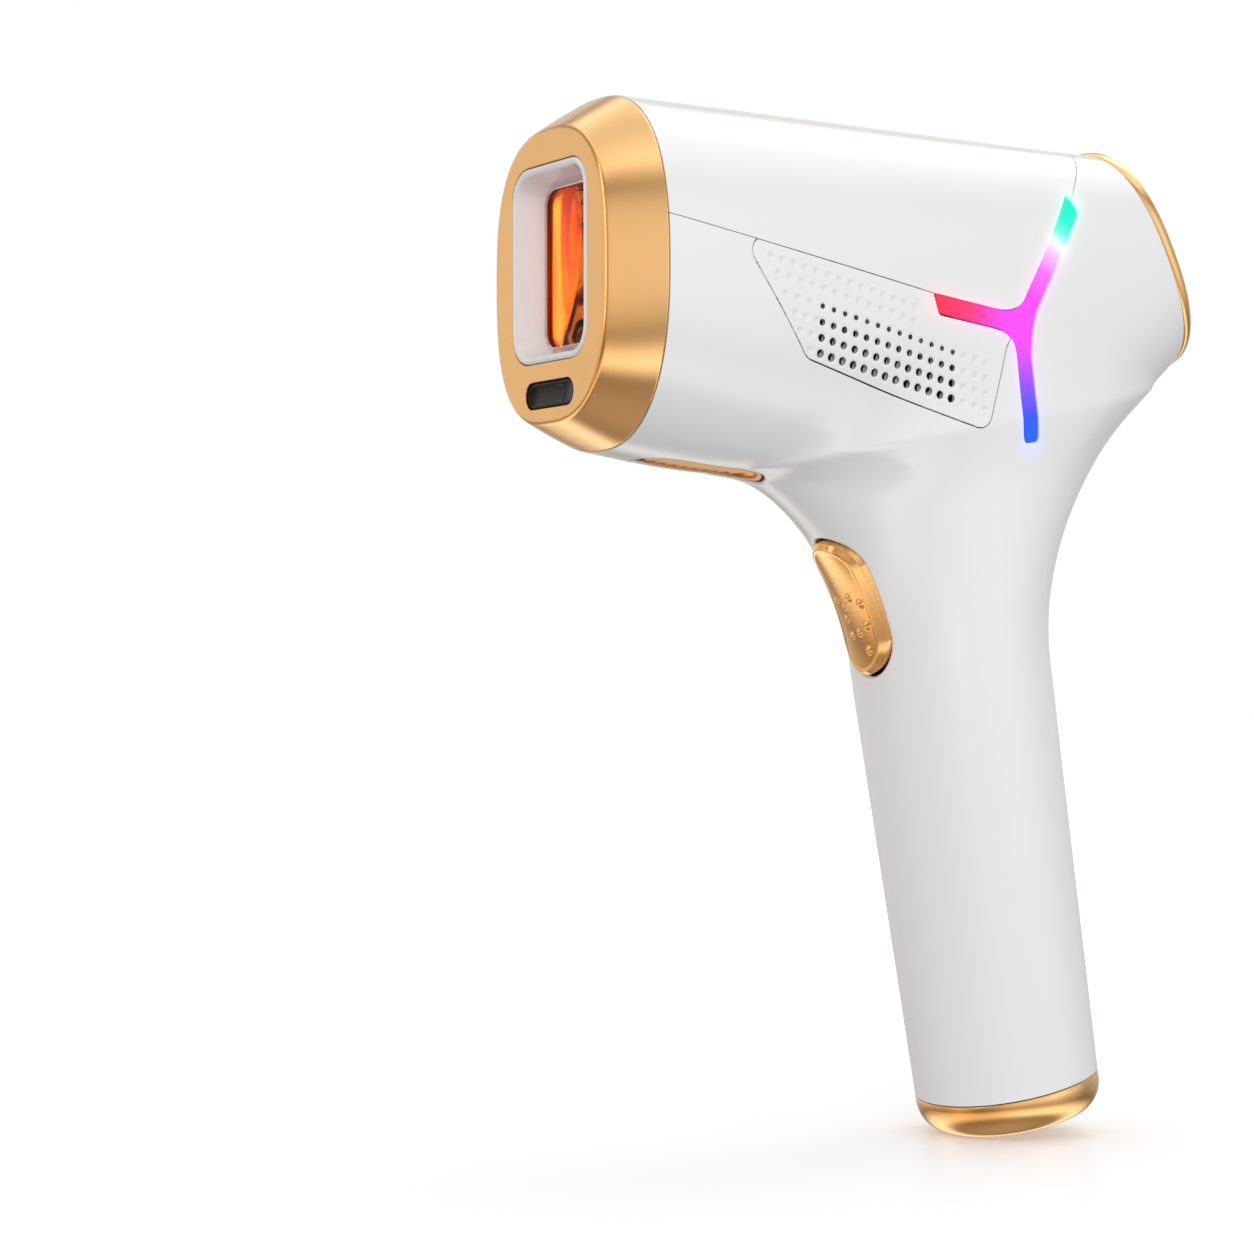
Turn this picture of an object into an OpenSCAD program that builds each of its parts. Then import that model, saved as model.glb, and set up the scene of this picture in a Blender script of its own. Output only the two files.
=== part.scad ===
// Pulsed-light hair remover: a pistol-shaped handset with a flat treatment head,
// a barrel that carries the lamp, its cooling and the main board, and a leaning grip
// that carries the power parts. The head faces -Y and +Z is up.

/* [Treatment head] */
// Width of the flat gold treatment face
face_w = 43; // [41:0.5:45]
// Height of the flat gold treatment face
face_h = 55; // [53:0.5:57]
// Depth of the gold head from its face to its rim
head_depth = 10.5; // [10:0.1:11]
// Width of the rim where the head meets the barrel
rim_w = 53.6; // [52:0.2:55]
// Height of the rim where the head meets the barrel
rim_h = 66.4; // [65:0.2:67]
// Width of the white frame round the window
window_w = 29; // [28:0.5:30]
// Height of the white frame round the window
window_h = 37; // [36:0.5:38]
// Height of the window's middle above the treatment axis
window_z = 2.6; // [2:0.1:3]
// Depth of the recess in front of the filter glass
window_depth = 5.7; // [5.2:0.1:6]

/* [Barrel] */
// Width of the barrel at its rear ring
ring_w = 34.8; // [34:0.2:36]
// Length of the rear ring, measured along its slope
ring_h = 47.3; // [46.5:0.1:48]
// Slope of the rear ring from upright
ring_slope = 25.2; // [24:0.1:26]
// Distance of the rear ring's middle behind the treatment face
ring_y = 132; // [131:0.5:133]
// Thickness of the rear ring
ring_t = 2.7; // [2.4:0.1:3]
// Wall of the white housings
wall = 2.2; // [2:0.1:2.4]

/* [Grip] */
// Backward lean of the grip
lean = 9.1; // [8.5:0.1:9.5]
// Tilt of the seam between the grip and its base cap
seam_tilt = 12.4; // [12:0.1:12.8]
// Width of the grip at the base seam
base_w = 37.5; // [36.5:0.1:38]
// Depth of the grip at the base seam
base_d = 35.6; // [35:0.1:36]
// Height of the base cap
base_h = 7.5; // [7.2:0.1:8]

/* [Controls] */
// Length of the flash trigger
trigger_l = 28; // [27:0.5:28.5]
// Width of the flash trigger
trigger_w = 13.5; // [13:0.1:13.8]
// How far the trigger travels
trigger_travel = 1; // [0.8:0.1:1]
// Radius of the power button
power_r = 4.2; // [4:0.1:4.4]
// Radius of the mode button
mode_r = 3; // [2.8:0.1:3.2]

/* [Cooling] */
// Radius of the blower's impeller
impeller_r = 18; // [17:0.5:18]
// Number of blades on the impeller
blades = 21; // [15:2:25]
// Number of air holes in each row of a vent panel
vent_cols = 13; // [11:1:13]
// Spacing of the air holes along a row
vent_pitch = 2.6; // [2.5:0.05:2.65]

/* [Power inlet] */
// Radius of the plug's mouth in the base cap
mouth_r = 4; // [3.8:0.1:4.2]
// Radius of the inlet's socket
socket_r = 2.75; // [2.7:0.05:2.8]
// Radius of the inlet's centre pin
pin_r = 1.05; // [1:0.05:1.1]

/* [Hidden] */
$fn = 48;

gap = 0.1;
front_y = -72.25;
axis_z = 165.67;
facets = 40;
barrel_n = 2.45;
face_n = 2.74;
grip_n = 2.1;
belly_z = -36;
top_front = [head_depth + 0.3, 34.1];
belly_front = [head_depth + 0.3, -32.4];
ring_mid = [ring_y, 10.2];
ring_up = [-sin(ring_slope), cos(ring_slope)];
ring_top = ring_mid + ring_up * ring_h / 2;
ring_low = ring_mid - ring_up * ring_h / 2;
grip_y0 = 79;
base_mid = [103.9, -155.5];
trigger_lean = 25.7;
trigger_mid = [65.1, -61.5];
blower_mid = [67, -8];
light_mid = [92.4, -6.3];
light_arms = [[-21, 2.8], [15.8, 25.4], [2.6, -22.7]];
light_arm_w = 3.6;
seam_front = [head_depth, 9.3];
glass_t = 2.5;
inlet_h = 14;
socket_h = 9.5;
pin_foot_r = 1.5;
pin_foot_h = 2.5;
inlet_r = 5.6;

// ---- outlines -------------------------------------------------------------

function lerp(a, b, t) = a + (b - a) * t;
function signed_pow(v, e) = sign(v) * pow(abs(v), e);

// Point of an oval with half-sizes a and b, squarer as n rises above 2
function oval(a, b, n, t) = [a * signed_pow(cos(t), 2 / n), b * signed_pow(sin(t), 2 / n)];
function oval_points(a, b, n) = [for (i = [0 : facets - 1]) oval(a, b, n, 360 * i / facets)];

// Rib of a lofted shell: an oval that spans from low to top in the YZ plane. A negative
// half-width turns it the other way round, for a loft that runs backwards along the barrel
function rib(top, low, half_w, n) =
    let (mid = (top + low) / 2, half = norm(top - low) / 2, up = (top - low) / norm(top - low))
    [for (p = oval_points(half_w, half, n)) [p[0], mid[0] + up[0] * p[1], mid[1] + up[1] * p[1]]];

module loft(ribs) {
    m = len(ribs);
    k = len(ribs[0]);
    polyhedron(
        points = [for (r = ribs) each r],
        faces = [
            [for (i = [0 : k - 1]) i],
            [for (i = [k - 1 : -1 : 0]) (m - 1) * k + i],
            for (j = [0 : m - 2]) for (i = [0 : k - 1])
                [j * k + i, (j + 1) * k + i, (j + 1) * k + (i + 1) % k],
            for (j = [0 : m - 2]) for (i = [0 : k - 1])
                [j * k + i, (j + 1) * k + (i + 1) % k, j * k + (i + 1) % k]
        ]
    );
}

module round_rect(w, h, r) {
    square([w - 2 * r, h], center = true);
    square([w, h - 2 * r], center = true);
    for (x = [-1, 1], y = [-1, 1]) translate([x * (w / 2 - r), y * (h / 2 - r)]) circle(r);
}

module racetrack(l, w) {
    square([w, l - w], center = true);
    for (y = [-1, 1]) translate([0, y * (l - w) / 2]) circle(w / 2);
}

// Extrudes an XZ outline along Y from y0 to y1
module along_y(y0, y1) {
    translate([0, y1, 0]) rotate([90, 0, 0]) linear_extrude(y1 - y0) children();
}

// Extrudes a YZ outline along X from x0 to x1
module along_x(x0, x1) {
    translate([x0, 0, 0]) rotate([90, 0, 90]) linear_extrude(x1 - x0) children();
}

module block(low, high) { translate(low) cube(high - low); }

// ---- frames of reference --------------------------------------------------

// The treatment axis runs back through the barrel from the middle of the gold face
module handset() { translate([0, front_y, axis_z]) children(); }

// Rear ring: +Y points out of the sloping rear face
module at_rear() { translate([0, ring_mid[0], ring_mid[1]]) rotate([ring_slope, 0, 0]) children(); }

// Grip: +Z runs up the leaning grip, from a point level with the treatment axis
module at_grip() { translate([0, grip_y0, 0]) rotate([lean, 0, 0]) children(); }

// Base seam: +Z points up into the grip
module at_base() { translate([0, base_mid[0], base_mid[1]]) rotate([seam_tilt, 0, 0]) children(); }

// Trigger: +Y points into the grip, +Z up along the trigger
module at_trigger() {
    translate([0, trigger_mid[0], trigger_mid[1]]) rotate([trigger_lean, 0, 0]) children();
}

// ---- outer body -----------------------------------------------------------

function belly(y) =
    y < 45 ? lerp(belly_front[1], belly_z, sin(90 * max(0, (y - belly_front[0]) / 34.2)))
    : y < 95 ? belly_z
    : lerp(belly_z, ring_low[1], pow((y - 95) / (ring_low[0] - 95), 1.8));
function barrel_half_w(t) = lerp(rim_w / 2 - 0.4, ring_w / 2, signed_pow(max(t, 0), 1.6));
function barrel_rib(t, inset) =
    let (
        top = lerp(top_front, ring_top, t),
        low_y = lerp(belly_front[0], ring_low[0], t),
        low = [low_y, t > 1 ? lerp(ring_low[1], ring_low[1] + 1, (t - 1) * 20) : belly(low_y)],
        up = (top - low) / norm(top - low)
    )
    rib(top - up * inset, low + up * inset, inset - barrel_half_w(t), barrel_n);

barrel_steps = [0, 0.13, 0.27, 0.42, 0.56, 0.68, 0.78, 0.86, 0.93, 1];
inner_steps = [-0.02, 0.13, 0.27, 0.42, 0.56, 0.68, 0.78, 0.86, 0.93, 1.03];

function grip_mid_y(z) = grip_y0 - z * tan(lean);
function grip_half_d(z) = (base_d / 2 + 1.45 * (z - base_mid[1]) / 88) / cos(lean);
function front_y_at(z) =
    grip_mid_y(z) - grip_half_d(z) - (z > -72 ? 30 * (1 - sqrt(1 - pow((z + 72) / 37, 2))) : 0);
function rear_y_at(z) =
    grip_mid_y(z) + grip_half_d(z) + (z > -70 ? pow(z + 70, 2) / 84 : 0);
function grip_half_w(z) = (base_w / 2) * grip_half_d(z) / grip_half_d(base_mid[1]);
function grip_rib(t, inset) =
    let (
        zf = lerp(base_mid[1] - base_d / 2 * sin(seam_tilt), -35.4, t),
        zr = lerp(base_mid[1] + base_d / 2 * sin(seam_tilt), -15.5, t),
        rear = [rear_y_at(zr), zr],
        front = [front_y_at(zf), zf],
        out = (rear - front) / norm(rear - front)
    )
    rib(rear - out * inset, front + out * inset, grip_half_w((zf + zr) / 2) - inset, grip_n);

grip_steps = [0, 0.35, 0.62, 0.7, 0.77, 0.83, 0.88, 0.92, 0.96, 1];
grip_inner_steps = [-0.02, 0.35, 0.62, 0.7, 0.77, 0.83, 0.88, 0.92, 0.96, 1];
function grip_root(inset) = rib([116 - inset, -4], [54 + inset, -16], 17 - inset, grip_n);

module outer_body() {
    loft([for (t = barrel_steps) barrel_rib(t, 0)]);
    loft(concat([for (t = grip_steps) grip_rib(t, 0)], [grip_root(0)]));
}

module inner_body(inset) {
    loft([for (t = inner_steps) barrel_rib(t, inset)]);
    loft(concat([for (t = grip_inner_steps) grip_rib(t, inset)], [grip_root(inset)]));
}

module shell() {
    difference() {
        outer_body();
        inner_body(wall);
    }
}

// Side outline of the top cover: it lifts off above the long side seam and stops at
// the light's upper arm
module cover_outline(shrink) {
    polygon([
        [0, seam_front[1] + 2 + shrink],
        [light_mid[0], light_mid[1] + 0.8 + shrink],
        [light_mid[0] + light_arms[1][0] - shrink, light_mid[1] + light_arms[1][1]],
        [117 - shrink, 33],
        [117 - shrink, 50],
        [0, 50]
    ]);
}

// Side outline of a vent panel, between the long seam, the light and the belly
module vent_outline(grow) {
    offset(delta = grow) polygon([
        [25.6, 6.5], [40.4, -14.2], [41.4, -15.3], [43, -16], [81.6, -26.8], [84, -26.9],
        [85.8, -25.6], [86.6, -23.4], [88.9, -12.5], [90.4, -6], [72, -1.93]
    ]);
}

module light_outline(grow) {
    w = light_arm_w + 2 * grow;
    for (arm = light_arms)
        let (a = atan2(arm[1], arm[0]))
        translate(light_mid) rotate(a) translate([0, -w / 2]) square([norm(arm) + grow, w]);
    translate(light_mid) circle(w * 0.72);
}

module outlet_outline(grow) { racetrack(27 + 2 * grow, 13 + 2 * grow); }

module light_slot(x0, x1, grow) { along_x(x0, x1) light_outline(grow); }
module trigger_slot(grow) {
    at_trigger() along_y(-12, 12) racetrack(trigger_l + 2 * grow, trigger_w + 2 * grow);
}

module outlet_slot(z0, z1, grow) {
    translate([0, 32, z0]) linear_extrude(z1 - z0) outlet_outline(grow);
}

// ---- white housings -------------------------------------------------------

module main_housing() {
    handset() color("white") difference() {
        shell();
        along_x(-40, 40) cover_outline(0);
        for (side = [0, 1]) mirror([side, 0, 0]) {
            along_x(10, 40) vent_outline(0.2);
            light_slot(10, 40, 0.15);
        }
        trigger_slot(0.4);
        outlet_slot(-45, -25, 0.2);
    }
}

module top_cover() {
    handset() color("white") difference() {
        intersection() {
            difference() {
                loft([for (t = barrel_steps) barrel_rib(t, 0)]);
                loft([for (t = inner_steps) barrel_rib(t, wall)]);
            }
            along_x(-40, 40) cover_outline(gap);
        }
        for (side = [0, 1]) mirror([side, 0, 0]) light_slot(10, 40, 0.15);
    }
}

// Air holes sit in four rows that follow the long seam
module vent_holes() {
    rows = [[-9.1, 0.45], [-12.1, 0.55], [-15, 0.62], [-17.9, 0.68]];
    for (r = rows, i = [0 : vent_cols - 1])
        let (y = 44.4 + i * vent_pitch)
        translate([10, y, r[0] - 0.22 * (y - 60)]) rotate([0, 90, 0]) cylinder(r = r[1], h = 30);
}

module vent_panel() {
    difference() {
        intersection() {
            shell();
            along_x(10, 40) vent_outline(0);
        }
        light_slot(10, 40, 0.6);
        vent_holes();
    }
}

module left_vent_panel() { handset() color("white") vent_panel(); }
module right_vent_panel() { handset() color("white") mirror([1, 0, 0]) vent_panel(); }

module dust_screen() { along_x(16.4, 17) vent_outline(-1.5); }
module left_dust_screen() { handset() color("black") dust_screen(); }
module right_dust_screen() { handset() color("black") mirror([1, 0, 0]) dust_screen(); }

// Gold louvre that lets the cooling air out under the barrel
module outlet_grille() {
    handset() color("peru") {
        difference() {
            outlet_slot(-33.4, -30.2, 0);
            outlet_slot(-33.9, -31.4, -1.2);
            for (i = [-5 : 5]) translate([0, 32 + i * 2.1, -32]) cube([9, 1, 6], center = true);
        }
    }
}

// ---- treatment head -------------------------------------------------------

face_edge_r = 1.3;
function head_rib(y, inset) =
    let (t = y / head_depth)
    [for (p = oval_points(
        lerp(face_w, rim_w, t) / 2 - inset, lerp(face_h, rim_h, t) / 2 - inset, lerp(face_n, barrel_n, t)))
        [-p[0], y, p[1] + 0.86 * t]];

module window_prism(grow, r, y0, y1) {
    translate([0, 0, window_z]) along_y(y0, y1)
        round_rect(window_w + 2 * grow, window_h + 2 * grow, r);
}

module sensor_prism(grow, y0, y1) {
    translate([0, 0, -21.9]) along_y(y0, y1) rotate(90) racetrack(18.4 + 2 * grow, 4.8 + 2 * grow);
}

module head_bezel() {
    handset() color("goldenrod") difference() {
        loft([for (a = [0, 30, 60]) head_rib(face_edge_r * (1 - cos(a)), face_edge_r * (1 - sin(a))),
              head_rib(face_edge_r, 0), head_rib(head_depth * 0.6, -0.35), head_rib(head_depth, 0)]);
        loft([head_rib(2, 2.2), head_rib(head_depth * 0.6, 1.85), head_rib(head_depth + 0.5, 2.2)]);
        window_prism(0.1, 6.1, -1, 4);
        sensor_prism(0.1, -1, 4);
    }
}

module window_frame() {
    handset() color("whitesmoke") difference() {
        window_prism(0, 6, 0, window_depth + glass_t);
        window_prism(-1.8, 4.2, -1, window_depth + glass_t + 1);
    }
}

module window_gasket() {
    handset() color("silver") difference() {
        window_prism(-1.85, 4.15, window_depth - 0.8, window_depth);
        window_prism(-3, 3, window_depth - 2, window_depth + 1);
    }
}

module filter_glass() {
    handset() color("orangered", 0.6) window_prism(-1.9, 4.1, window_depth, window_depth + glass_t);
}

module skin_sensor_lens() { handset() color("black") sensor_prism(0, 0.5, 2.4); }

module skin_sensor_board() {
    handset() color("darkgreen") block([-10, 3, -24.8], [10, 4.2, -18.8]);
}

// ---- lamp and cooling -----------------------------------------------------

cold_y = window_depth + glass_t;
cooler_y = cold_y + 2;
spreader_y = cooler_y + 3.4;
sink_y = 24.5;

module cold_frame() {
    handset() color("lightsteelblue") translate([0, 0, window_z]) along_y(cold_y, cooler_y)
        difference() {
            round_rect(37, 39, 5);
            round_rect(21, 29, 3);
        }
}

module cooler_modules() {
    handset() color("white") for (x = [-14.5, 14.5])
        block([x - 3.8, cooler_y, window_z - 15], [x + 3.8, spreader_y, window_z + 15]);
}

module heat_spreader() {
    handset() color("sandybrown") {
        for (x = [-14.5, 14.5])
            block([x - 3.8, spreader_y, window_z - 15], [x + 3.8, sink_y - 2, window_z + 15]);
        block([-18.3, sink_y - 2, window_z - 15], [18.3, sink_y, window_z + 15]);
    }
}

module heat_sink() {
    handset() color("silver") {
        block([-16, sink_y, -24], [16, sink_y + 2.5, 13]);
        for (i = [-4 : 4]) block([i * 3.85 - 0.6, sink_y + 2.5, -24], [i * 3.85 + 0.6, 43, 13]);
    }
}

module bulkhead_holes(r, y0, y1) {
    for (x = [-1, 1], z = [-1, 1])
        translate([x * 11, y1, window_z + z * 23]) rotate([90, 0, 0]) cylinder(r = r, h = y1 - y0);
}

module front_bulkhead() {
    handset() color("gainsboro") difference() {
        along_y(11, 13) polygon(oval_points(23.4, 30, barrel_n));
        translate([0, 0, window_z]) along_y(10, 14) round_rect(38, 40, 5);
        bulkhead_holes(1.3, 10, 14);
    }
}

module bulkhead_screws() {
    handset() color("gray") {
        bulkhead_holes(1.2, 9.6, 19);
        bulkhead_holes(2.2, 9.6, 10.9);
    }
}

reflector_apex = 21.4;
reflector_mouth = 10.6;
function reflector_x(y, grow) =
    (9.6 + grow) * sqrt(max(0, (reflector_apex + grow - y) / (reflector_apex - reflector_mouth)));
function reflector_curve(grow) =
    [for (i = [-8 : 8]) let (y = lerp(reflector_mouth, reflector_apex + grow, 1 - pow(i / 8, 2)))
        [sign(i) * reflector_x(y, grow), y]];

module reflector() {
    handset() color("lightgray") translate([0, 0, window_z - 16.5]) linear_extrude(33)
        difference() {
            polygon(reflector_curve(0.6));
            polygon(reflector_curve(0));
        }
}

lamp_y = 16;
module lamp_rod(r, z0, z1) { translate([0, lamp_y, window_z + z0]) cylinder(r = r, h = z1 - z0); }

module flash_lamp() { handset() color("lightyellow") lamp_rod(2.5, -17, 17); }

module lamp_end_caps() {
    handset() color("silver") for (side = [0, 1])
        translate([0, 0, window_z]) mirror([0, 0, side]) translate([0, 0, -window_z]) {
            lamp_rod(2.5, 17, 20.5);
            lamp_rod(0.7, 20.5, 25);
        }
}

module lamp_holders() {
    handset() color("ivory") for (side = [0, 1])
        translate([0, 0, window_z]) mirror([0, 0, side]) difference() {
            block([-6, 13.1, 17.2], [6, 20, 22]);
            translate([0, lamp_y, 16]) cylinder(r = 2.5, h = 4.5);
            translate([0, lamp_y, 16]) cylinder(r = 0.7, h = 8);
        }
}

module trigger_coil() {
    handset() color("darkorange") translate([0, 30, 17.9]) rotate([-90, 0, 0]) {
        cylinder(r = 3.2, h = 16);
        cylinder(r = 3.9, h = 1.2);
        translate([0, 0, 14.8]) cylinder(r = 3.9, h = 1.2);
    }
}

// ---- blower ---------------------------------------------------------------

case_r = impeller_r + 3;
case_x = 8;
duct_z = 1 - case_r;

module at_blower() { translate([0, blower_mid[0], blower_mid[1]]) children(); }
module x_rod(r, x0, x1) { translate([x0, 0, 0]) rotate([0, 90, 0]) cylinder(r = r, h = x1 - x0); }

module air_inlet(x0, x1) {
    along_x(x0, x1) difference() {
        circle(12);
        circle(3);
        for (a = [0, 120, 240]) rotate(a) translate([0, -1]) square([13, 2]);
    }
    x_rod(1.25, x0, x1);
}

module blower_case() {
    handset() at_blower() color("dimgray") {
        difference() {
            union() {
                x_rod(case_r, -case_x, 6.5);
                block([-case_x, -21.5, duct_z], [6.5, 0, -4]);
            }
            x_rod(case_r - 1.5, -case_x + 1.5, 7);
            block([-case_x + 1.5, -22, duct_z + 1.5], [7, 0, -5.5]);
            air_inlet(-case_x - 1, 0);
        }
    }
}

module blower_cover() {
    handset() at_blower() color("dimgray") {
        difference() {
            union() {
                x_rod(case_r, 6.5, case_x);
                block([6.5, -21.5, duct_z], [case_x, 0, -4]);
            }
            air_inlet(6, case_x + 1);
        }
    }
}

module blower_impeller() {
    handset() at_blower() color("darkslategray") {
        x_rod(1.2, -7.6, 7.6);
        x_rod(5.5, -5.5, 5.5);
        x_rod(impeller_r, -0.6, 0.6);
        for (i = [0 : blades - 1]) rotate([i * 360 / blades, 0, 0])
            translate([0, 0, impeller_r - 2.6]) rotate([25, 0, 0])
                cube([11, 0.8, 3.8], center = true);
    }
}

// ---- boards in the barrel -------------------------------------------------

module main_board() { handset() color("green") block([-12, 32, 22.2], [12, 100, 23.8]); }
module power_switch_chip() { handset() color("black") block([-7, 60, 23.8], [7, 76, 27.6]); }

// ---- side lights ----------------------------------------------------------

module light_guide() {
    intersection() {
        difference() {
            outer_body();
            inner_body(3);
        }
        light_slot(12, 40, 0);
    }
}

module left_light_guide() { handset() color("violet") light_guide(); }
module right_light_guide() { handset() color("violet") mirror([1, 0, 0]) light_guide(); }

module light_board() {
    block([11, light_mid[0] - 10, light_mid[1] - 17], [12.2, light_mid[0] + 12, light_mid[1] + 20]);
}
module left_light_board() { handset() color("white") light_board(); }
module right_light_board() { handset() color("white") mirror([1, 0, 0]) light_board(); }

// ---- rear face ------------------------------------------------------------

module rear_oval(inset, y0, y1) {
    along_y(y0, y1) polygon(oval_points(ring_w / 2 - inset, ring_h / 2 - inset, barrel_n));
}

module rear_hole(z, r, y0, y1) {
    translate([0, y1, z]) rotate([90, 0, 0]) cylinder(r = r, h = y1 - y0);
}

power_z = -13;
mode_z = -3.5;
display_z = 9;

module rear_ring() {
    handset() at_rear() color("goldenrod") difference() {
        rear_oval(0, 0.05, ring_t);
        rear_oval(2, -1, ring_t + 1);
    }
}

module rear_panel() {
    handset() at_rear() color("whitesmoke") difference() {
        rear_oval(2.1, 0.1, 2.3);
        rear_hole(power_z, power_r + 0.2, -1, 4);
        rear_hole(mode_z, mode_r + 0.2, -1, 4);
        translate([0, 0, display_z]) along_y(-1, 4) round_rect(18.1, 14.1, 3);
    }
}

module display_lens() {
    handset() at_rear() color("black") translate([0, 0, display_z]) along_y(1, 2.3)
        round_rect(18, 14, 3);
}

module display_module() {
    handset() at_rear() color("darkblue") translate([0, 0, display_z]) along_y(-3.4, 0)
        square([17, 13], center = true);
}

module rear_board() {
    handset() at_rear() color("green") along_y(-5, -3.5) polygon(oval_points(12.5, 18, barrel_n));
}

module rear_switches() {
    handset() at_rear() color("dimgray") for (z = [power_z, mode_z]) {
        translate([0, 0, z]) along_y(-3.4, -2) square([4.5, 4.5], center = true);
        rear_hole(z, 1, -2, -1.4);
    }
}

module rear_button(z, r) {
    rear_hole(z, r, 0, 2.6);
    rear_hole(z, r + 0.6, -0.6, 0);
}
module power_button() { handset() at_rear() color("goldenrod") rear_button(power_z, power_r); }
module mode_button() { handset() at_rear() color("goldenrod") rear_button(mode_z, mode_r); }

// ---- trigger --------------------------------------------------------------

trigger_face_y = -1;
guide_y = 7.6;
flange_y = guide_y + 1.6;
flange_t = 1;
switch_y = flange_y + flange_t + trigger_travel + 0.1;

module flash_trigger() {
    handset() at_trigger() color("goldenrod") {
        along_y(trigger_face_y, flange_y) racetrack(trigger_l, trigger_w);
        along_y(flange_y, flange_y + flange_t) racetrack(trigger_l + 2, trigger_w + 2);
    }
}

module trigger_guide() {
    handset() at_trigger() color("white") along_y(guide_y, flange_y - gap) difference() {
        racetrack(trigger_l + 4, trigger_w + 3);
        racetrack(trigger_l + 0.6, trigger_w + 0.6);
    }
}

module trigger_switch() {
    handset() at_trigger() color("dimgray") {
        along_y(switch_y, switch_y + 0.6) circle(1.4);
        along_y(switch_y + 0.6, switch_y + 3) square([6, 6], center = true);
    }
}

module trigger_board() {
    handset() at_trigger() color("green") along_y(switch_y + 3, switch_y + 4.4)
        square([11, 24], center = true);
}

// ---- power parts in the grip ----------------------------------------------

module power_board() {
    handset() at_grip() color("green") block([-8.6, -11, -148], [-7, 11, -78]);
}

module flash_capacitors() {
    handset() at_grip() color("navy") for (z = [-147, -111])
        translate([1, 0, z]) cylinder(r = 8, h = 34);
}

module step_up_transformer() {
    handset() at_grip() color("khaki") {
        block([-9, -3, -66], [9, 13, -62]);
        block([-6, 0, -62], [6, 10, -50]);
        block([-9, -3, -50], [9, 13, -46]);
    }
}

// ---- base -----------------------------------------------------------------

base_edge = [5, 6];
function base_rib(z, inset) =
    [for (p = oval_points(base_w / 2 - inset, base_d / 2 - inset, grip_n)) [p[0], p[1], z]];

module base_cap() {
    handset() at_base() color("goldenrod") difference() {
        loft(concat(
            [for (a = [0, 10, 25, 45, 68]) base_rib(
                -base_h + base_edge[1] * (1 - cos(a)), base_edge[0] * (1 - sin(a)))],
            [base_rib(-base_h + base_edge[1], 0), base_rib(-0.1, 0)]
        ));
        loft([base_rib(-base_h + 2.5, 3.4), base_rib(-base_h + 4, 2), base_rib(1, 2)]);
        translate([0, 0, -base_h - 1]) cylinder(r = mouth_r, h = 4);
    }
}

inlet_z = -base_h + 2.5;
module power_inlet() {
    handset() at_base() color("black") translate([0, 0, inlet_z]) difference() {
        cylinder(r = inlet_r, h = inlet_h);
        translate([0, 0, -1]) cylinder(r = socket_r, h = socket_h + 1);
        translate([0, 0, socket_h - 1]) cylinder(r = pin_foot_r, h = pin_foot_h + 1);
    }
}

module inlet_pin() {
    handset() at_base() color("gold") translate([0, 0, inlet_z]) {
        translate([0, 0, 0.6]) cylinder(r = pin_r, h = socket_h - 0.6);
        translate([0, 0, socket_h]) cylinder(r = pin_foot_r, h = pin_foot_h);
    }
}

module inlet_leads() {
    handset() at_grip() color("firebrick") for (y = [-2.4, 2.4])
        translate([-11.4, y, -146]) cylinder(r = 0.9, h = 60);
}

head_bezel();
window_frame();
filter_glass();
window_gasket();
skin_sensor_lens();
skin_sensor_board();
cold_frame();
cooler_modules();
heat_spreader();
heat_sink();
front_bulkhead();
reflector();
flash_lamp();
lamp_end_caps();
lamp_holders();
bulkhead_screws();
trigger_coil();
blower_case();
blower_cover();
blower_impeller();
main_board();
power_switch_chip();
main_housing();
top_cover();
left_vent_panel();
right_vent_panel();
left_dust_screen();
right_dust_screen();
outlet_grille();
left_light_guide();
right_light_guide();
left_light_board();
right_light_board();
rear_ring();
rear_panel();
display_lens();
display_module();
rear_board();
rear_switches();
power_button();
mode_button();
flash_trigger();
trigger_guide();
trigger_switch();
trigger_board();
power_board();
flash_capacitors();
step_up_transformer();
base_cap();
power_inlet();
inlet_pin();
inlet_leads();
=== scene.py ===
# Pulsed-light hair remover: a white moulded handset with a gold treatment head, an
# orange filter window, a vented barrel with a lit emblem, a finger trigger and a gold
# base cap. Lengths are worked out in millimetres from the middle of the flat gold face.
import math

import bmesh
import bpy
import numpy as np
from mathutils import Matrix, Vector


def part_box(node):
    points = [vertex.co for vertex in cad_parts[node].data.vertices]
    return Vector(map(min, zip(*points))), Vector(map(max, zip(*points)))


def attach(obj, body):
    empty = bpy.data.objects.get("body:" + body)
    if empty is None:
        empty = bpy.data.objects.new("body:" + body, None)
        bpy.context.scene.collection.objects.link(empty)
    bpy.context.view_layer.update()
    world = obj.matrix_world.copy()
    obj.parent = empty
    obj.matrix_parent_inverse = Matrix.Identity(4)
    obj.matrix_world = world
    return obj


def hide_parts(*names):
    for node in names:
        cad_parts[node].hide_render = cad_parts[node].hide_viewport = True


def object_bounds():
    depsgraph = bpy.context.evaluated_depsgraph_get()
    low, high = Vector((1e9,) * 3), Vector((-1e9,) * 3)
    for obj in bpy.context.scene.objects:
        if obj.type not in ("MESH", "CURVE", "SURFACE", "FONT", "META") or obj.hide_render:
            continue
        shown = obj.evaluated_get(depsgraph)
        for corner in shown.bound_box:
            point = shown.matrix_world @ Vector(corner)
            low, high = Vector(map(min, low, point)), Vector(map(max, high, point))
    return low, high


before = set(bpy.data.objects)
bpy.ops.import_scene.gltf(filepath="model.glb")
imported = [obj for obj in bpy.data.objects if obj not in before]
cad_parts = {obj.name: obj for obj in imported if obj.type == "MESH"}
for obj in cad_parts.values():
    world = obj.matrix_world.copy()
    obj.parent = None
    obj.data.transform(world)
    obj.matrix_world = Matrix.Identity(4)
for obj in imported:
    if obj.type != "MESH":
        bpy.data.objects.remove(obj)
cad_bounds = [list(corner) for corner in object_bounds()]

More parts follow.
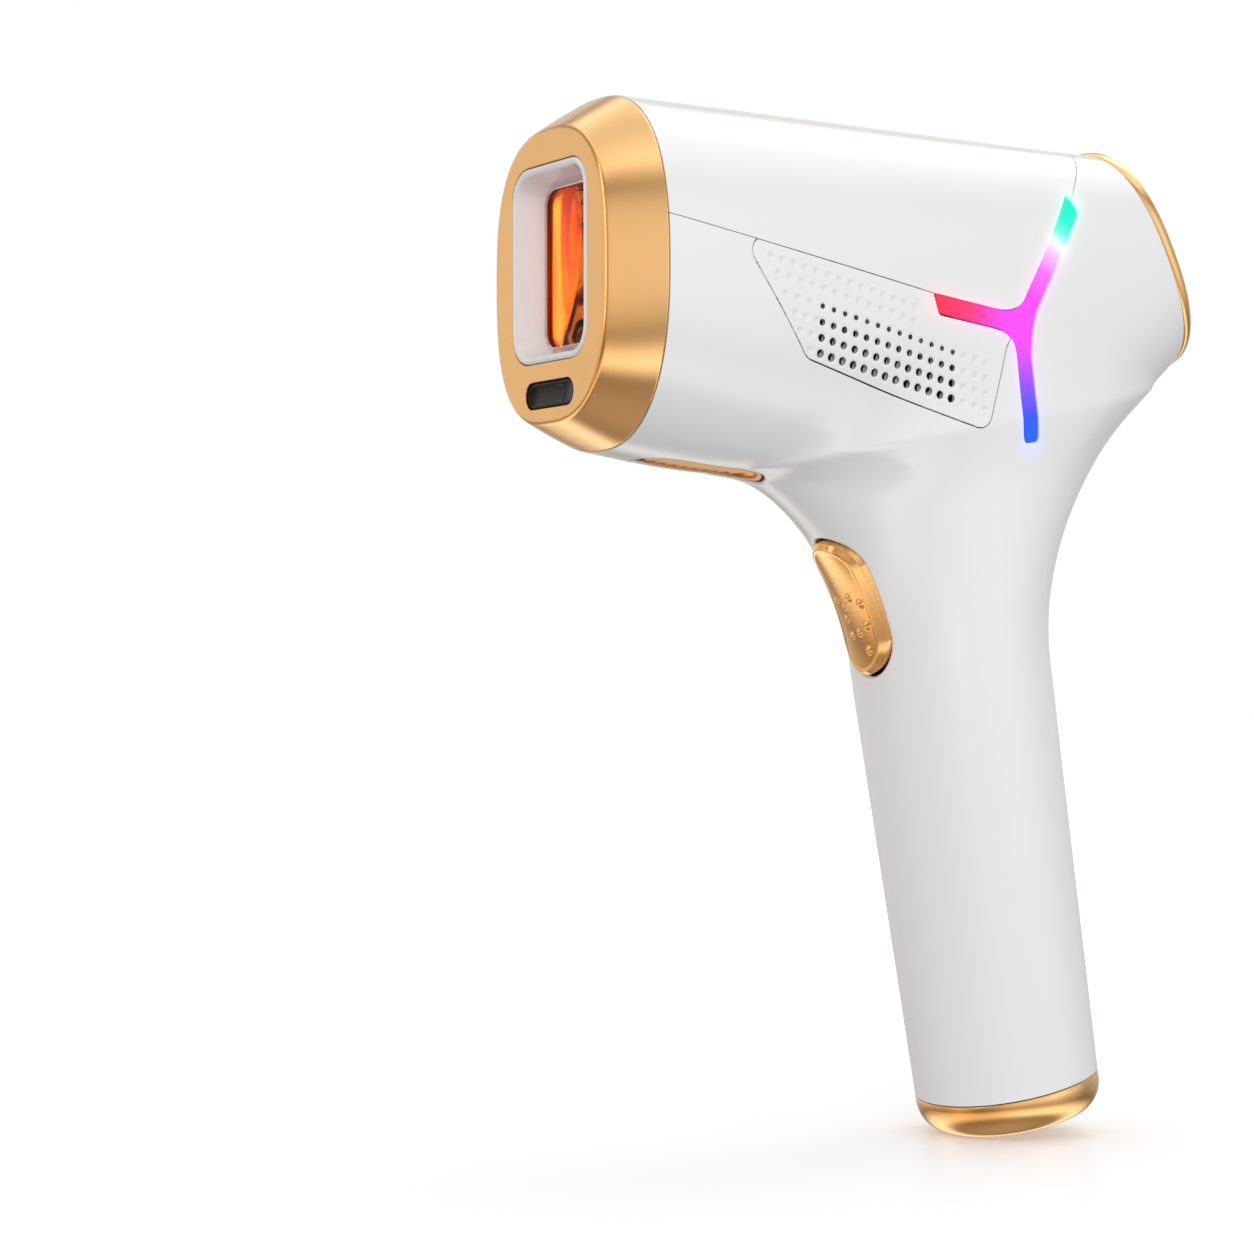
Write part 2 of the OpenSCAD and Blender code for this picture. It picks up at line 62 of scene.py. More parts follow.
# ---- white outer skin -------------------------------------------------------
# The barrel and the grip are one satin-white ABS form that the mould halves share. It is
# laid out here as a single smooth skin, and the housings below are cut from it.
face_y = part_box("head_bezel")[0].y * 1000
axis_z = (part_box("window_frame")[0].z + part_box("window_frame")[1].z) * 500 - 2.6
ring_mid = np.array([132.0, 10.2])
ring_tilt = math.radians(25.2)
ring_up = np.array([-math.sin(ring_tilt), math.cos(ring_tilt)])
ring_half_h = 23.65
ring_half_w = 17.4
base_mid = np.array([103.9, -155.5])
base_tilt = math.radians(12.4)
grip_lean = math.tan(math.radians(9.1))


def in_metres(points):
    return (np.asarray(points, float) + [0, face_y, axis_z]) / 1000


def belly(y):
    low_y, low_z = ring_mid - ring_up * ring_half_h
    front = -32.4 - 3.6 * np.sin(np.pi / 2 * np.clip((y - 10.8) / 34.2, 0, 1))
    rear = -36 + (low_z + 36) * np.clip((y - 95) / (low_y - 95), 0, None) ** 1.8
    return np.where(y < 95, front, rear)


# Each form is a fan of oval ribs: its two edge lines, its half-width and its squareness
def barrel_fan():
    t = np.linspace(-0.3, 1.3, 161)
    top = np.outer(1 - t, [10.8, 34.1]) + np.outer(t, ring_mid + ring_up * ring_half_h)
    low_y = 10.8 + t * ((ring_mid - ring_up * ring_half_h)[0] - 10.8)
    half_w = 26.4 + (ring_half_w - 26.4) * np.clip(t, 0, None) ** 1.6
    return t, top[:, 0], top[:, 1], low_y, belly(low_y), half_w, 2.45


def grip_fan():
    t = np.concatenate([np.linspace(-0.12, 1, 141), [1.12, 1.4]])
    low = base_mid[1] - 17.8 * math.sin(base_tilt)
    high = base_mid[1] + 17.8 * math.sin(base_tilt)
    zf, zr = low + t * (-35.4 - low), high + t * (-15.5 - high)
    half_d = lambda z: (17.8 + 1.45 * (z - base_mid[1]) / 88) / math.cos(math.radians(9.1))
    mid = lambda z: 79 - z * grip_lean
    swell = 30 * (1 - np.sqrt(1 - np.clip((zf + 72) / 37, 0, 1) ** 2))
    front = mid(zf) - half_d(zf) - swell
    rear = mid(zr) + half_d(zr) + np.where(zr > -70, (zr + 70) ** 2 / 84, 0)
    half_w = 18.75 * half_d((zf + zr) / 2) / half_d(base_mid[1])
    front[-2:], zf[-2:], rear[-2:], zr[-2:], half_w[-2:] = (54, 75), (-16, 0), (116, 100), (-4, 6), 17
    return t, rear, zr, front, zf, half_w, 2.1


fans = [barrel_fan() + (25.0,), grip_fan() + (19.0,)]


def fan_place(y, z, fan):
    """How far along the fan of ribs a point is, and its place on that rib."""
    t, top_y, top_z, low_y, low_z, half_w, squareness, size = fan
    near, far = np.full(np.shape(y), t[0]), np.full(np.shape(y), t[-1])
    lift = 1 if top_z[0] - low_z[0] > 30 else -1
    for _ in range(22):
        half = (near + far) / 2
        ty, tz, ly, lz = (np.interp(half, t, line) for line in (top_y, top_z, low_y, low_z))
        ahead = ((ty - ly) * (z - lz) - (tz - lz) * (y - ly)) * lift < 0
        near, far = np.where(ahead, half, near), np.where(ahead, far, half)
    length = np.hypot(ty - ly, tz - lz)
    along = ((y - (ty + ly) / 2) * (ty - ly) + (z - (tz + lz) / 2) * (tz - lz)) / length
    return np.abs(along) / (length / 2), np.interp(half, t, half_w)


def skin_depth(points, places=None):
    """Below zero inside the white form; the barrel runs into the grip with a soft fillet."""
    x = np.abs(points[..., 0])
    depths = []
    for fan, place in zip(fans, places or [None, None]):
        along, half_w = place or fan_place(points[..., 1], points[..., 2], fan)
        norm = ((x / half_w) ** fan[6] + along ** fan[6]) ** (1 / fan[6])
        depths.append((norm - 1) * fan[7])
    # The grip's form ends inside the barrel
    depths[1] = np.maximum(depths[1], points[..., 2] + 7)
    soft = 0.6 + 8 * np.clip(x / 19, 0, 1) ** 2
    mix = np.clip(soft - np.abs(depths[0] - depths[1]), 0, None) / soft
    return np.minimum(*depths) - mix ** 2 * soft / 4


def skin_slope(points, step=0.05):
    slope = np.empty_like(points)
    for axis in range(3):
        shift = np.zeros(3)
        shift[axis] = step
        slope[:, axis] = (skin_depth(points + shift) - skin_depth(points - shift)) / (2 * step)
    return slope


def onto_skin(points, rounds=2):
    for _ in range(rounds):
        slope = skin_slope(points)
        points = points - slope * (skin_depth(points) / (slope ** 2).sum(1))[:, None]
    return points


def net_skin(low, high, step):
    """Quads round the cells that the skin passes through, drawn onto the skin and evened out."""
    axes = [np.arange(a, b + step, step) for a, b in zip(low, high)]
    y, z = np.meshgrid(axes[1], axes[2], indexing="ij")
    places = [fan_place(y, z, fan) for fan in fans]
    flat = np.stack([np.zeros_like(y), y, z], -1)
    depth = np.stack([skin_depth(flat + [x, 0, 0], places) for x in axes[0]])
    cells = tuple(n - 1 for n in depth.shape)
    total, count = np.zeros(cells + (3,)), np.zeros(cells)
    corners = []
    for axis in range(3):
        a, b = (axis + 1) % 3, (axis + 2) % 3
        first = depth.take(range(depth.shape[axis] - 1), axis)
        second = depth.take(range(1, depth.shape[axis]), axis)
        at = np.argwhere((first < 0) != (second < 0))
        at = at[((at[:, [a, b]] > 0) & (at[:, [a, b]] < np.array(depth.shape)[[a, b]] - 1)).all(1)]
        f, s = first[tuple(at.T)], second[tuple(at.T)]
        spot = at.astype(float)
        spot[:, axis] += f / (f - s)
        ring = []
        for da, db in ((-1, -1), (0, -1), (0, 0), (-1, 0)):
            cell = at.copy()
            cell[:, a] += da
            cell[:, b] += db
            np.add.at(total, tuple(cell.T), spot)
            np.add.at(count, tuple(cell.T), 1)
            ring.append(np.ravel_multi_index(tuple(cell.T), cells))
        ring = np.stack(ring, 1)
        corners.append(np.where((f < 0)[:, None], ring, ring[:, ::-1]))
    corners = np.concatenate(corners)
    used, faces = np.unique(corners, return_inverse=True)
    faces = faces.reshape(corners.shape)
    points = total.reshape(-1, 3)[used] / count.reshape(-1)[used][:, None] * step + low
    points = onto_skin(points)
    edges = np.unique(np.sort(np.concatenate([faces[:, [i, (i + 1) % 4]] for i in range(4)]), 1), axis=0)
    for _ in range(3):
        near, links = np.zeros_like(points), np.zeros(len(points))
        for one, two in ((0, 1), (1, 0)):
            np.add.at(near, edges[:, one], points[edges[:, two]])
            np.add.at(links, edges[:, one], 1)
        points = onto_skin(points + 0.6 * (near / links[:, None] - points), 1)
    return onto_skin(points, 1), [tuple(f) for f in faces.tolist()]


def trim(points, faces, gap):
    """Keeps the part of a skin where gap is below zero, with a clean new edge along the line."""
    gap = np.where(np.abs(gap) < 1e-6, 0, gap)
    side = np.sign(gap).astype(int).tolist()
    new, cuts, kept = [], {}, []
    for face in faces:
        sides = [side[i] for i in face]
        if max(sides) <= 0:
            if min(sides) < 0:
                kept.append(face)
            continue
        if min(sides) >= 0:
            continue
        outline = []
        for a, b in zip(face, face[1:] + face[:1]):
            if side[a] <= 0:
                outline.append(a)
            if side[a] * side[b] < 0:
                key = (min(a, b), max(a, b))
                if key not in cuts:
                    cuts[key] = len(points) + len(new)
                    new.append(points[a] + (points[b] - points[a]) * gap[a] / (gap[a] - gap[b]))
                outline.append(cuts[key])
        if len(outline) > 2:
            kept.append(tuple(outline))
    if new:
        points = np.concatenate([points, new])
    used = sorted({i for f in kept for i in f})
    number = {old: i for i, old in enumerate(used)}
    return points[used], [tuple(number[i] for i in f) for f in kept]


def outline_gap(y, z, corners, rounding=0.0):
    """Distance from an outline of straight sides: below zero inside, its corners rounded."""
    corners = np.asarray(corners, float)
    if rounding:
        corners = inset_outline(corners, rounding)
    nearest, inside = np.full(np.shape(y), 1e9), np.zeros(np.shape(y), bool)
    for a, b in zip(corners, np.roll(corners, -1, 0)):
        side = b - a
        along = np.clip(((y - a[0]) * side[0] + (z - a[1]) * side[1]) / (side @ side), 0, 1)
        nearest = np.minimum(nearest, np.hypot(y - a[0] - along * side[0], z - a[1] - along * side[1]))
        spans = (a[1] > z) != (b[1] > z)
        rise = side[1] if abs(side[1]) > 1e-9 else 1e-9
        inside ^= spans & (y < side[0] * (z - a[1]) / rise + a[0])
    return np.where(inside, -nearest, nearest) - rounding


def inset_outline(corners, depth):
    """An outline's corners moved inwards; the corners run anticlockwise."""
    moved = []
    for before, here, after in zip(np.roll(corners, 1, 0), corners, np.roll(corners, -1, 0)):
        one, two = here - before, after - here
        one, two = one / np.hypot(*one), two / np.hypot(*two)
        n1, n2 = np.array([-one[1], one[0]]), np.array([-two[1], two[0]])
        moved.append(here + (n1 + n2) * depth / (1 + n1 @ n2))
    return np.array(moved)


def racetrack_gap(across, along, width, length):
    return np.hypot(across, np.clip(np.abs(along) - (length - width) / 2, 0, None)) - width / 2


def base_height(points):
    """Height above the seam between the grip and its base cap."""
    return (points[:, 1] - base_mid[0]) * -math.sin(base_tilt) + (points[:,
        2] - base_mid[1]) * math.cos(base_tilt)


def behind_ring(points):
    """Distance out past the sloping rear face."""
    return (points[:, 1] - ring_mid[0]) * math.cos(ring_tilt) + (points[:,
        2] - ring_mid[1]) * math.sin(ring_tilt)


skin_points, skin_faces = net_skin(np.array([-28.0, 4.3, -168.0]), np.array([28.0, 152.0, 42.0]), 1.1)
for end in (lambda p: 10.75 - p[:, 1], behind_ring, lambda p: 0.12 - base_height(p)):
    skin_points, skin_faces = trim(skin_points, skin_faces, end(skin_points))

# ---- main housing -----------------------------------------------------------
# One ABS moulding makes the grip, the lower barrel and the rear collar. Its seams are
# fine gaps with softened edges, and its trigger and outlet slots have rolled lips.
cover_edge = [[-5, 12.2], [92.4, -5.5], [108.2, 19.9], [117, 33], [117, 60], [-5, 60]]
panel_edge = [[25.4, 7.4], [41.4, -15.3], [84.2, -27.2], [88.6, -10.5], [92, -6.3], [72, -1.4]]
seam_gap = 0.09
wall = 2.2
light_mid = np.array([92.4, -6.3])
trigger_tilt = math.radians(25.7)
trigger_mid = np.array([65.1, -61.5])
trigger_l, trigger_w = 28.0, 13.5
outlet_y, outlet_l, outlet_w = 32.0, 27.0, 13.0


def cover_gap(points):
    return outline_gap(points[:, 1], points[:, 2], cover_edge)


def panel_gap(points):
    return outline_gap(points[:, 1], points[:, 2], panel_edge, 2.6)


def light_gap(points):
    """Distance from the three-armed light; the arms meet in soft hollows and end on a slant."""
    y, z = points[:, 1] - light_mid[0], points[:, 2] - light_mid[1]
    gap = None
    for arm_y, arm_z, slant in ((-21, 2.8, -0.47), (15.8, 25.4, 0.5), (2.6, -22.7, 0.0)):
        length = math.hypot(arm_y, arm_z)
        along = (y * arm_y + z * arm_z) / length
        across = (z * arm_y - y * arm_z) / length
        one, two = np.abs(across) - 1.8, np.maximum(along - length - slant * across, -along - 1.2)
        soft = np.clip(0.9 - np.abs(one - two), 0, None) / 0.9
        arm = np.maximum(one, two) + soft ** 2 * 0.225
        if gap is None:
            gap = arm
            continue
        soft = np.clip(3.4 - np.abs(gap - arm), 0, None) / 3.4
        gap = np.minimum(gap, arm) - soft ** 2 * 0.85
    return gap


def in_trigger(points):
    """Places in the trigger's own frame: across, into the grip, and up along the trigger."""
    y, z = points[:, 1] - trigger_mid[0], points[:, 2] - trigger_mid[1]
    c, s = math.cos(trigger_tilt), math.sin(trigger_tilt)
    return np.stack([points[:, 0], y * c + z * s, z * c - y * s], 1)


def from_trigger(points):
    c, s = math.cos(trigger_tilt), math.sin(trigger_tilt)
    y = trigger_mid[0] + points[:, 1] * c - points[:, 2] * s
    z = trigger_mid[1] + points[:, 1] * s + points[:, 2] * c
    return np.stack([points[:, 0], y, z], 1)


def trigger_gap(points):
    at = in_trigger(points)
    return np.where(at[:, 1] < 14, racetrack_gap(at[:, 0], at[:, 2], trigger_w, trigger_l), 40.0)


def outlet_gap(points):
    gap = racetrack_gap(points[:, 0], points[:, 1] - outlet_y, outlet_w, outlet_l)
    return np.where(points[:, 2] < -20, gap, 40.0)


def refine(points, faces, gap, reach=3.2, cuts=3):
    """Splits the skin's faces finer near a line."""
    mesh = bmesh.new()
    verts = [mesh.verts.new(p) for p in points]
    for face in faces:
        mesh.faces.new([verts[i] for i in face])
    mesh.verts.index_update()
    close = np.abs(gap) < reach
    edges = [e for e in mesh.edges if close[e.verts[0].index] and close[e.verts[1].index]]
    bmesh.ops.subdivide_edges(mesh, edges=edges, cuts=cuts, use_grid_fill=True)
    mesh.verts.index_update()
    points = np.array([v.co for v in mesh.verts])
    faces = [tuple(v.index for v in f.verts) for f in mesh.faces]
    mesh.free()
    return onto_skin(points, 1), faces


def roll_lip(points, gap, radius):
    """Rolls the skin inwards at a slot's edge, as a moulded lip is."""
    near = np.clip(radius - gap, 0, radius)
    depth = radius - np.sqrt(np.clip(radius ** 2 - near ** 2, 0, None))
    slope = skin_slope(points)
    return points - slope / np.linalg.norm(slope, axis=1)[:, None] * depth[:, None]


def new_piece(name, points, faces, body, node, smooth=True):
    """A named piece made of these points and faces that rides its body and stands for its node."""
    mesh = bpy.data.meshes.new(name)
    mesh.from_pydata(in_metres(points).tolist(), [], [list(f) for f in faces])
    mesh.polygons.foreach_set("use_smooth", [smooth] * len(mesh.polygons))
    piece = bpy.data.objects.new(name, mesh)
    bpy.context.scene.collection.objects.link(piece)
    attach(piece, body)
    if node:
        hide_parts(node)
    return piece


def thicken(piece, thickness, edge, segments=2, angle=40):
    """Gives a skin its wall, and softens the edges that the cuts leave."""
    shell = piece.modifiers.new("wall", "SOLIDIFY")
    shell.thickness, shell.offset, shell.use_even_offset = thickness / 1000, -1, True
    if edge:
        soften(piece, edge, segments, angle)


def soften(piece, edge, segments=2, angle=40):
    bevel = piece.modifiers.new("edges", "BEVEL")
    bevel.width, bevel.segments, bevel.limit_method = edge / 1000, segments, "ANGLE"
    bevel.angle_limit, bevel.harden_normals = math.radians(angle), False
    weigh = piece.modifiers.new("shading", "WEIGHTED_NORMAL")
    weigh.weight, weigh.keep_sharp = 80, False


points, faces = skin_points, skin_faces
for slot_gap in (trigger_gap, outlet_gap):
    points, faces = refine(points, faces, slot_gap(points))
cuts = (lambda p: seam_gap - cover_gap(p), lambda p: 0.3 - panel_gap(p), lambda p: 0.12 - light_gap(p),
        lambda p: 0.55 - trigger_gap(p), lambda p: 0.3 - outlet_gap(p))
for cut in cuts:
    points, faces = trim(points, faces, cut(points))
points = roll_lip(points, trigger_gap(points) - 0.55, 0.9)
points = roll_lip(points, outlet_gap(points) - 0.3, 0.6)
main_housing = new_piece("main_housing_skin", points, faces, "handset", "main_housing")
thicken(main_housing, wall, 0.14)


# The shell's satin finish: fine spark-eroded grain, a slow drift of tone from the flow of
# the plastic, and a few faint handling marks. Other moulded plastics share it.
def new_group(name, inputs, outputs):
    group = bpy.data.node_groups.new(name, "ShaderNodeTree")
    for socket, kind, value in inputs:
        group.interface.new_socket(socket, in_out="INPUT", socket_type=kind).default_value = value
    for socket, kind in outputs:
        group.interface.new_socket(socket, in_out="OUTPUT", socket_type=kind)
    return group, group.nodes.new("NodeGroupInput"), group.nodes.new("NodeGroupOutput")


def add_node(tree, kind, links=None, **settings):
    """A node with its settings, and its inputs by name or number: a value or another socket."""
    node = tree.nodes.new(kind)
    for key, value in settings.items():
        setattr(node, key, value)
    for key, value in (links or {}).items():
        if isinstance(value, bpy.types.NodeSocket):
            tree.links.new(value, node.inputs[key])
        else:
            node.inputs[key].default_value = value
    return node


def sums(tree, operation, *values):
    return add_node(tree, "ShaderNodeMath", dict(enumerate(values)), operation=operation).outputs[0]


def blend_colours(tree, amount, first, second):
    node = add_node(tree, "ShaderNodeMix", {"Factor": amount}, data_type="RGBA")
    for socket, value in ((6, first), (7, second)):
        if isinstance(value, bpy.types.NodeSocket):
            tree.links.new(value, node.inputs[socket])
        else:
            node.inputs[socket].default_value = value
    return node.outputs[2]


def colour_ramp(tree, amount, stops):
    node = add_node(tree, "ShaderNodeValToRGB", {"Fac": amount})
    ramp = node.color_ramp
    while len(ramp.elements) < len(stops):
        ramp.elements.new(0.5)
    for element, (place, colour) in zip(ramp.elements, stops):
        element.position, element.color = place, colour
    return node.outputs["Color"]


def noise(tree, where, scale, detail=2.0, stretch=None):
    if stretch:
        where = add_node(tree, "ShaderNodeMapping", {"Vector": where, "Scale": stretch}).outputs[0]
    return add_node(tree, "ShaderNodeTexNoise", {"Vector": where, "Scale": scale,
                                                 "Detail": detail}).outputs[0]


def moulded_plastic_group():
    tree, given, out = new_group(
        "moulded_plastic",
        [("Color", "NodeSocketColor", (0.9, 0.9, 0.9, 1)), ("Tone drift", "NodeSocketFloat", 0.02),
         ("Grain size", "NodeSocketFloat", 2600.0), ("Roughness", "NodeSocketFloat", 0.35),
         ("Marks", "NodeSocketFloat", 0.06)],
        [("Color", "NodeSocketColor"), ("Roughness", "NodeSocketFloat"), ("Height", "NodeSocketFloat")])
    where = tree.nodes.new("ShaderNodeTexCoord").outputs["Object"]
    drift = noise(tree, where, 22.0, 3.0)
    darker = sums(tree, "MULTIPLY", sums(tree, "SUBTRACT", drift, 0.35), given.outputs["Tone drift"])
    shade = sums(tree, "SUBTRACT", 1.0, darker)
    grey = add_node(tree, "ShaderNodeCombineColor", {0: shade, 1: shade, 2: shade}).outputs[0]
    tint = add_node(tree, "ShaderNodeMix", {"Factor": 1.0}, data_type="RGBA", blend_type="MULTIPLY")
    tree.links.new(given.outputs["Color"], tint.inputs[6])
    tree.links.new(grey, tint.inputs[7])
    tree.links.new(tint.outputs[2], out.inputs["Color"])
    smear = noise(tree, where, 60.0, 4.0, (1, 1, 0.25))
    mark = sums(tree, "MULTIPLY", sums(tree, "POWER", smear, 3.0), given.outputs["Marks"])
    tree.links.new(sums(tree, "ADD", given.outputs["Roughness"], mark), out.inputs["Roughness"])
    grain = add_node(tree, "ShaderNodeTexNoise", {"Vector": where, "Scale": given.outputs["Grain size"],
                                                  "Detail": 1.0})
    tree.links.new(grain.outputs[0], out.inputs["Height"])
    return tree


def new_finish(name, **settings):
    finish = bpy.data.materials.new(name)
    finish.use_nodes = True
    shader = finish.node_tree.nodes["Principled BSDF"]
    for key, value in settings.items():
        shader.inputs[key.replace("_", " ")].default_value = value
    return finish


def use_group(finish, group, depth=0.0, **settings):
    """Places a group in a finish: its colour, its roughness, and its height as a bump."""
    tree = finish.node_tree
    shader = tree.nodes["Principled BSDF"]
    node = tree.nodes.new("ShaderNodeGroup")
    node.node_tree = group
    for key, value in settings.items():
        node.inputs[key.replace("_", " ")].default_value = value
    for output, socket in (("Color", "Base Color"), ("Roughness", "Roughness")):
        if output in node.outputs:
            tree.links.new(node.outputs[output], shader.inputs[socket])
    if depth:
        bump = add_node(tree, "ShaderNodeBump", {"Height": node.outputs["Height"],
                                                 "Distance": depth / 1000})
        tree.links.new(bump.outputs[0], shader.inputs["Normal"])
    return node


def give(finish, *pieces):
    for piece in pieces:
        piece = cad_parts[piece] if isinstance(piece, str) else piece
        piece.data.materials.clear()
        piece.data.materials.append(finish)


# The emblem's arm colours, and a painted glow: its light painted as emission on the white wall round it, as
# if it showed through
def emblem_light_group():
    tree, given, out = new_group(
        "emblem_light", [("Spread", "NodeSocketFloat", 2.2)],
        [("Color", "NodeSocketColor"), ("Painted glow", "NodeSocketColor")])
    where = add_node(tree, "ShaderNodeSeparateXYZ",
                     {0: tree.nodes.new("ShaderNodeTexCoord").outputs["Object"]})
    y = sums(tree, "SUBTRACT", sums(tree, "MULTIPLY", where.outputs[1], 1000.0), face_y + light_mid[0])
    z = sums(tree, "SUBTRACT", sums(tree, "MULTIPLY", where.outputs[2], 1000.0), axis_z + light_mid[1])
    magenta = (1.0, 0.055, 0.95, 1)
    arms = {
        (15.8, 25.4): [(0.0, magenta), (0.2, magenta), (0.42, (1.0, 0.16, 0.95, 1)),
                       (0.57, (1.0, 0.55, 0.97, 1)),
                       (0.66, (0.85, 1.0, 0.98, 1)), (0.74, (0.15, 0.95, 0.78, 1)),
                       (0.84, (0.01, 0.92, 0.64, 1)),
                       (1.0, (0.0, 0.85, 0.58, 1))],
        (-21, 2.8): [(0.0, magenta), (0.25, (1.0, 0.055, 0.85, 1)), (0.6, (1.0, 0.03, 0.2, 1)),
                     (1.0, (1.0, 0.02, 0.07, 1))],
        (2.6, -22.7): [(0.0, magenta), (0.25, (0.75, 0.06, 1.0, 1)), (0.52, (0.26, 0.07, 1.0, 1)),
                       (0.78, (0.02, 0.08, 1.0, 1)),
                       (1.0, (0.0, 0.12, 0.95, 1))]}
    colour, nearest = None, None
    for (arm_y, arm_z), stops in arms.items():
        length = math.hypot(arm_y, arm_z)
        along = sums(tree, "ADD", sums(tree, "MULTIPLY", y, arm_y / length ** 2),
                     sums(tree, "MULTIPLY", z, arm_z / length ** 2))
        shade = colour_ramp(tree, along, stops)
        held = add_node(tree, "ShaderNodeClamp", {0: along}).outputs[0]
        off_y = sums(tree, "SUBTRACT", y, sums(tree, "MULTIPLY", held, arm_y))
        off_z = sums(tree, "SUBTRACT", z, sums(tree, "MULTIPLY", held, arm_z))
        apart = sums(tree, "SQRT", sums(tree, "ADD", sums(tree, "MULTIPLY", off_y, off_y),
                                        sums(tree, "MULTIPLY", off_z, off_z)))
        nearest = apart if nearest is None else sums(tree, "MINIMUM", nearest, apart)
        pick = add_node(tree, "ShaderNodeMapRange", {0: along, 1: 1.0 / length, 2: 4.0 / length}).outputs[0]
        colour = shade if colour is None else blend_colours(tree, pick, colour, shade)
    tree.links.new(colour, out.inputs["Color"])
    # Painted glow: emission that fades with distance from the arms
    fade = sums(tree, "DIVIDE", sums(tree, "MAXIMUM", sums(tree, "SUBTRACT", nearest, 1.7), 0.0),
                given.outputs["Spread"])
    painted_glow = sums(tree, "EXPONENT", sums(tree, "MULTIPLY", fade, -1.0))
    tree.links.new(blend_colours(tree, painted_glow, (0, 0, 0, 1), colour), out.inputs["Painted glow"])
    return tree


moulded_plastic = moulded_plastic_group()
emblem_light = emblem_light_group()
# The white shell's emission is painted glow from the emblem, strongest next to its arms
white_shell = new_finish("white_shell", Emission_Strength=0.34, IOR=1.47, Coat_Weight=0.8,
                         Coat_Roughness=0.14)
use_group(white_shell, moulded_plastic, 0.004, Color=(0.91, 0.91, 0.915, 1), Roughness=0.3)
emblem_painted_glow = add_node(white_shell.node_tree, "ShaderNodeGroup", node_tree=emblem_light)
emblem_painted_glow.inputs["Spread"].default_value = 1.1
white_shell.node_tree.links.new(emblem_painted_glow.outputs["Painted glow"],
                                white_shell.node_tree.nodes["Principled BSDF"].inputs["Emission Color"])
give(white_shell, main_housing)

# ---- top cover --------------------------------------------------------------
# A saddle-shaped ABS cover that snaps over the top of the barrel. Its long side seams
# run back to the lit emblem on each side.
points, faces = skin_points, skin_faces
for cut in (lambda p: cover_gap(p) + seam_gap, lambda p: 0.12 - light_gap(p)):
    points, faces = trim(points, faces, cut(points))
top_cover = new_piece("top_cover_skin", points, faces, "handset", "top_cover")
thicken(top_cover, wall, 0.14)
give(white_shell, top_cover)

# ---- vent panels ------------------------------------------------------------
# A separate ABS panel fills each side of the barrel below the long seam. Four rows of
# moulded air holes run through it, with shallow dimples that fade the pattern out.
panel_wall = 1.8
row_slope = -0.22
hole_rows = ((-9.1, 0.5), (-12.1, 0.64), (-15.0, 0.73), (-17.9, 0.78))
hole_pitch = 2.6
first_hole_y = 44.4
dimple_rows = ((-3.07, 32.6, 14, 2.585), (-5.84, 34.1, 13, 2.65), (-9.1, 36.0, 3, 2.7),
               (-12.1, 38.2, 3, 2.4), (-15.0, 39.4, 2, 2.6), (-17.9, 41.9, 1, 2.6),
               (-9.1, 78.3, 3, 2.6), (-12.1, 78.3, 3, 2.6), (-15.0, 78.3, 3, 2.6), (-17.9, 78.3, 3, 2.6))


def row_height(z, y):
    return z + row_slope * (y - 60)


def panel_skin(step=0.25):
    """A fine grid of points on the left side of the barrel, and its faces."""
    ys, zs = np.arange(24, 91.5, step), np.arange(-28.5, 9, step)
    y, z = np.meshgrid(ys, zs, indexing="ij")
    places = [fan_place(y, z, fan) for fan in fans]
    near, far = np.full(y.shape, 4.0), np.full(y.shape, 30.0)
    for _ in range(18):
        x = (near + far) / 2
        inside = skin_depth(np.stack([x, y, z], -1), places) < 0
        near, far = np.where(inside, x, near), np.where(inside, far, x)
    number = np.arange(y.size).reshape(y.shape)
    faces = np.stack([number[:-1, :-1], number[1:, :-1], number[1:, 1:], number[:-1, 1:]], -1)
    return np.stack([x, y, z], -1).reshape(-1, 3), [tuple(f) for f in faces.reshape(-1, 4).tolist()]


points, faces = panel_skin()
slope = skin_slope(points)
normals = slope / np.linalg.norm(slope, axis=1)[:, None]
sink = np.zeros(len(points))
hole_gap = np.full(len(points), 40.0)
for z, first, count, pitch in dimple_rows:
    for i in range(count):
        y = first + i * pitch
        apart = np.hypot(points[:, 1] - y, points[:, 2] - row_height(z, y))
        sink = np.maximum(sink, 0.5 * np.clip(1 - (apart / 0.66) ** 2, 0, 1) ** 1.2)
for z, radius in hole_rows:
    for i in range(13):
        y = first_hole_y + i * hole_pitch
        apart = np.hypot(points[:, 1] - y, points[:, 2] - row_height(z, y))
        hole_gap = np.minimum(hole_gap, apart - radius)
# Each hole has a slightly dished mouth
sink = np.maximum(sink, 0.22 * np.clip(1 - hole_gap / 0.35, 0, 1) ** 2)
points = points - normals * sink[:, None]
points = np.column_stack([points, hole_gap])
for cut in (lambda p: panel_gap(p), lambda p: cover_gap(p) * -1 + seam_gap + 0.04, lambda p: -p[:, 3],
            lambda p: 0.3 - light_gap(p)):
    points, faces = trim(points, faces, cut(points))
for side, sign in (("left", 1), ("right", -1)):
    turned = faces if sign > 0 else [f[::-1] for f in faces]
    panel = new_piece(side + "_vent_panel_skin", points[:, :3] * [sign, 1, 1], turned,
                      "handset", side + "_vent_panel")
    thicken(panel, panel_wall, 0.07, 1, 50)
    give(white_shell, panel)

# ---- dust screens -----------------------------------------------------------
# Behind each vent panel a die-cut square of open black polyester mesh keeps lint out.
dust_screen = new_finish("dust_screen", Roughness=0.85, Base_Color=(0.012, 0.012, 0.013, 1))
tree = dust_screen.node_tree
where = tree.nodes.new("ShaderNodeTexCoord").outputs["Object"]
turned = add_node(tree, "ShaderNodeMapping", {"Vector": where, "Rotation": (0, math.pi / 2, 0)}).outputs[0]
weave = add_node(tree, "ShaderNodeTexBrick", {"Vector": turned, "Scale": 1200.0, "Mortar Size": 0.22,
                                              "Brick Width": 0.5,
                                              "Color1": (0.004, 0.004, 0.004, 1),
                                              "Color2": (0.006, 0.006, 0.006, 1),
                                              "Mortar": (0.03, 0.03, 0.032, 1)}, offset=0.0)
tree.links.new(weave.outputs["Color"], tree.nodes["Principled BSDF"].inputs["Base Color"])
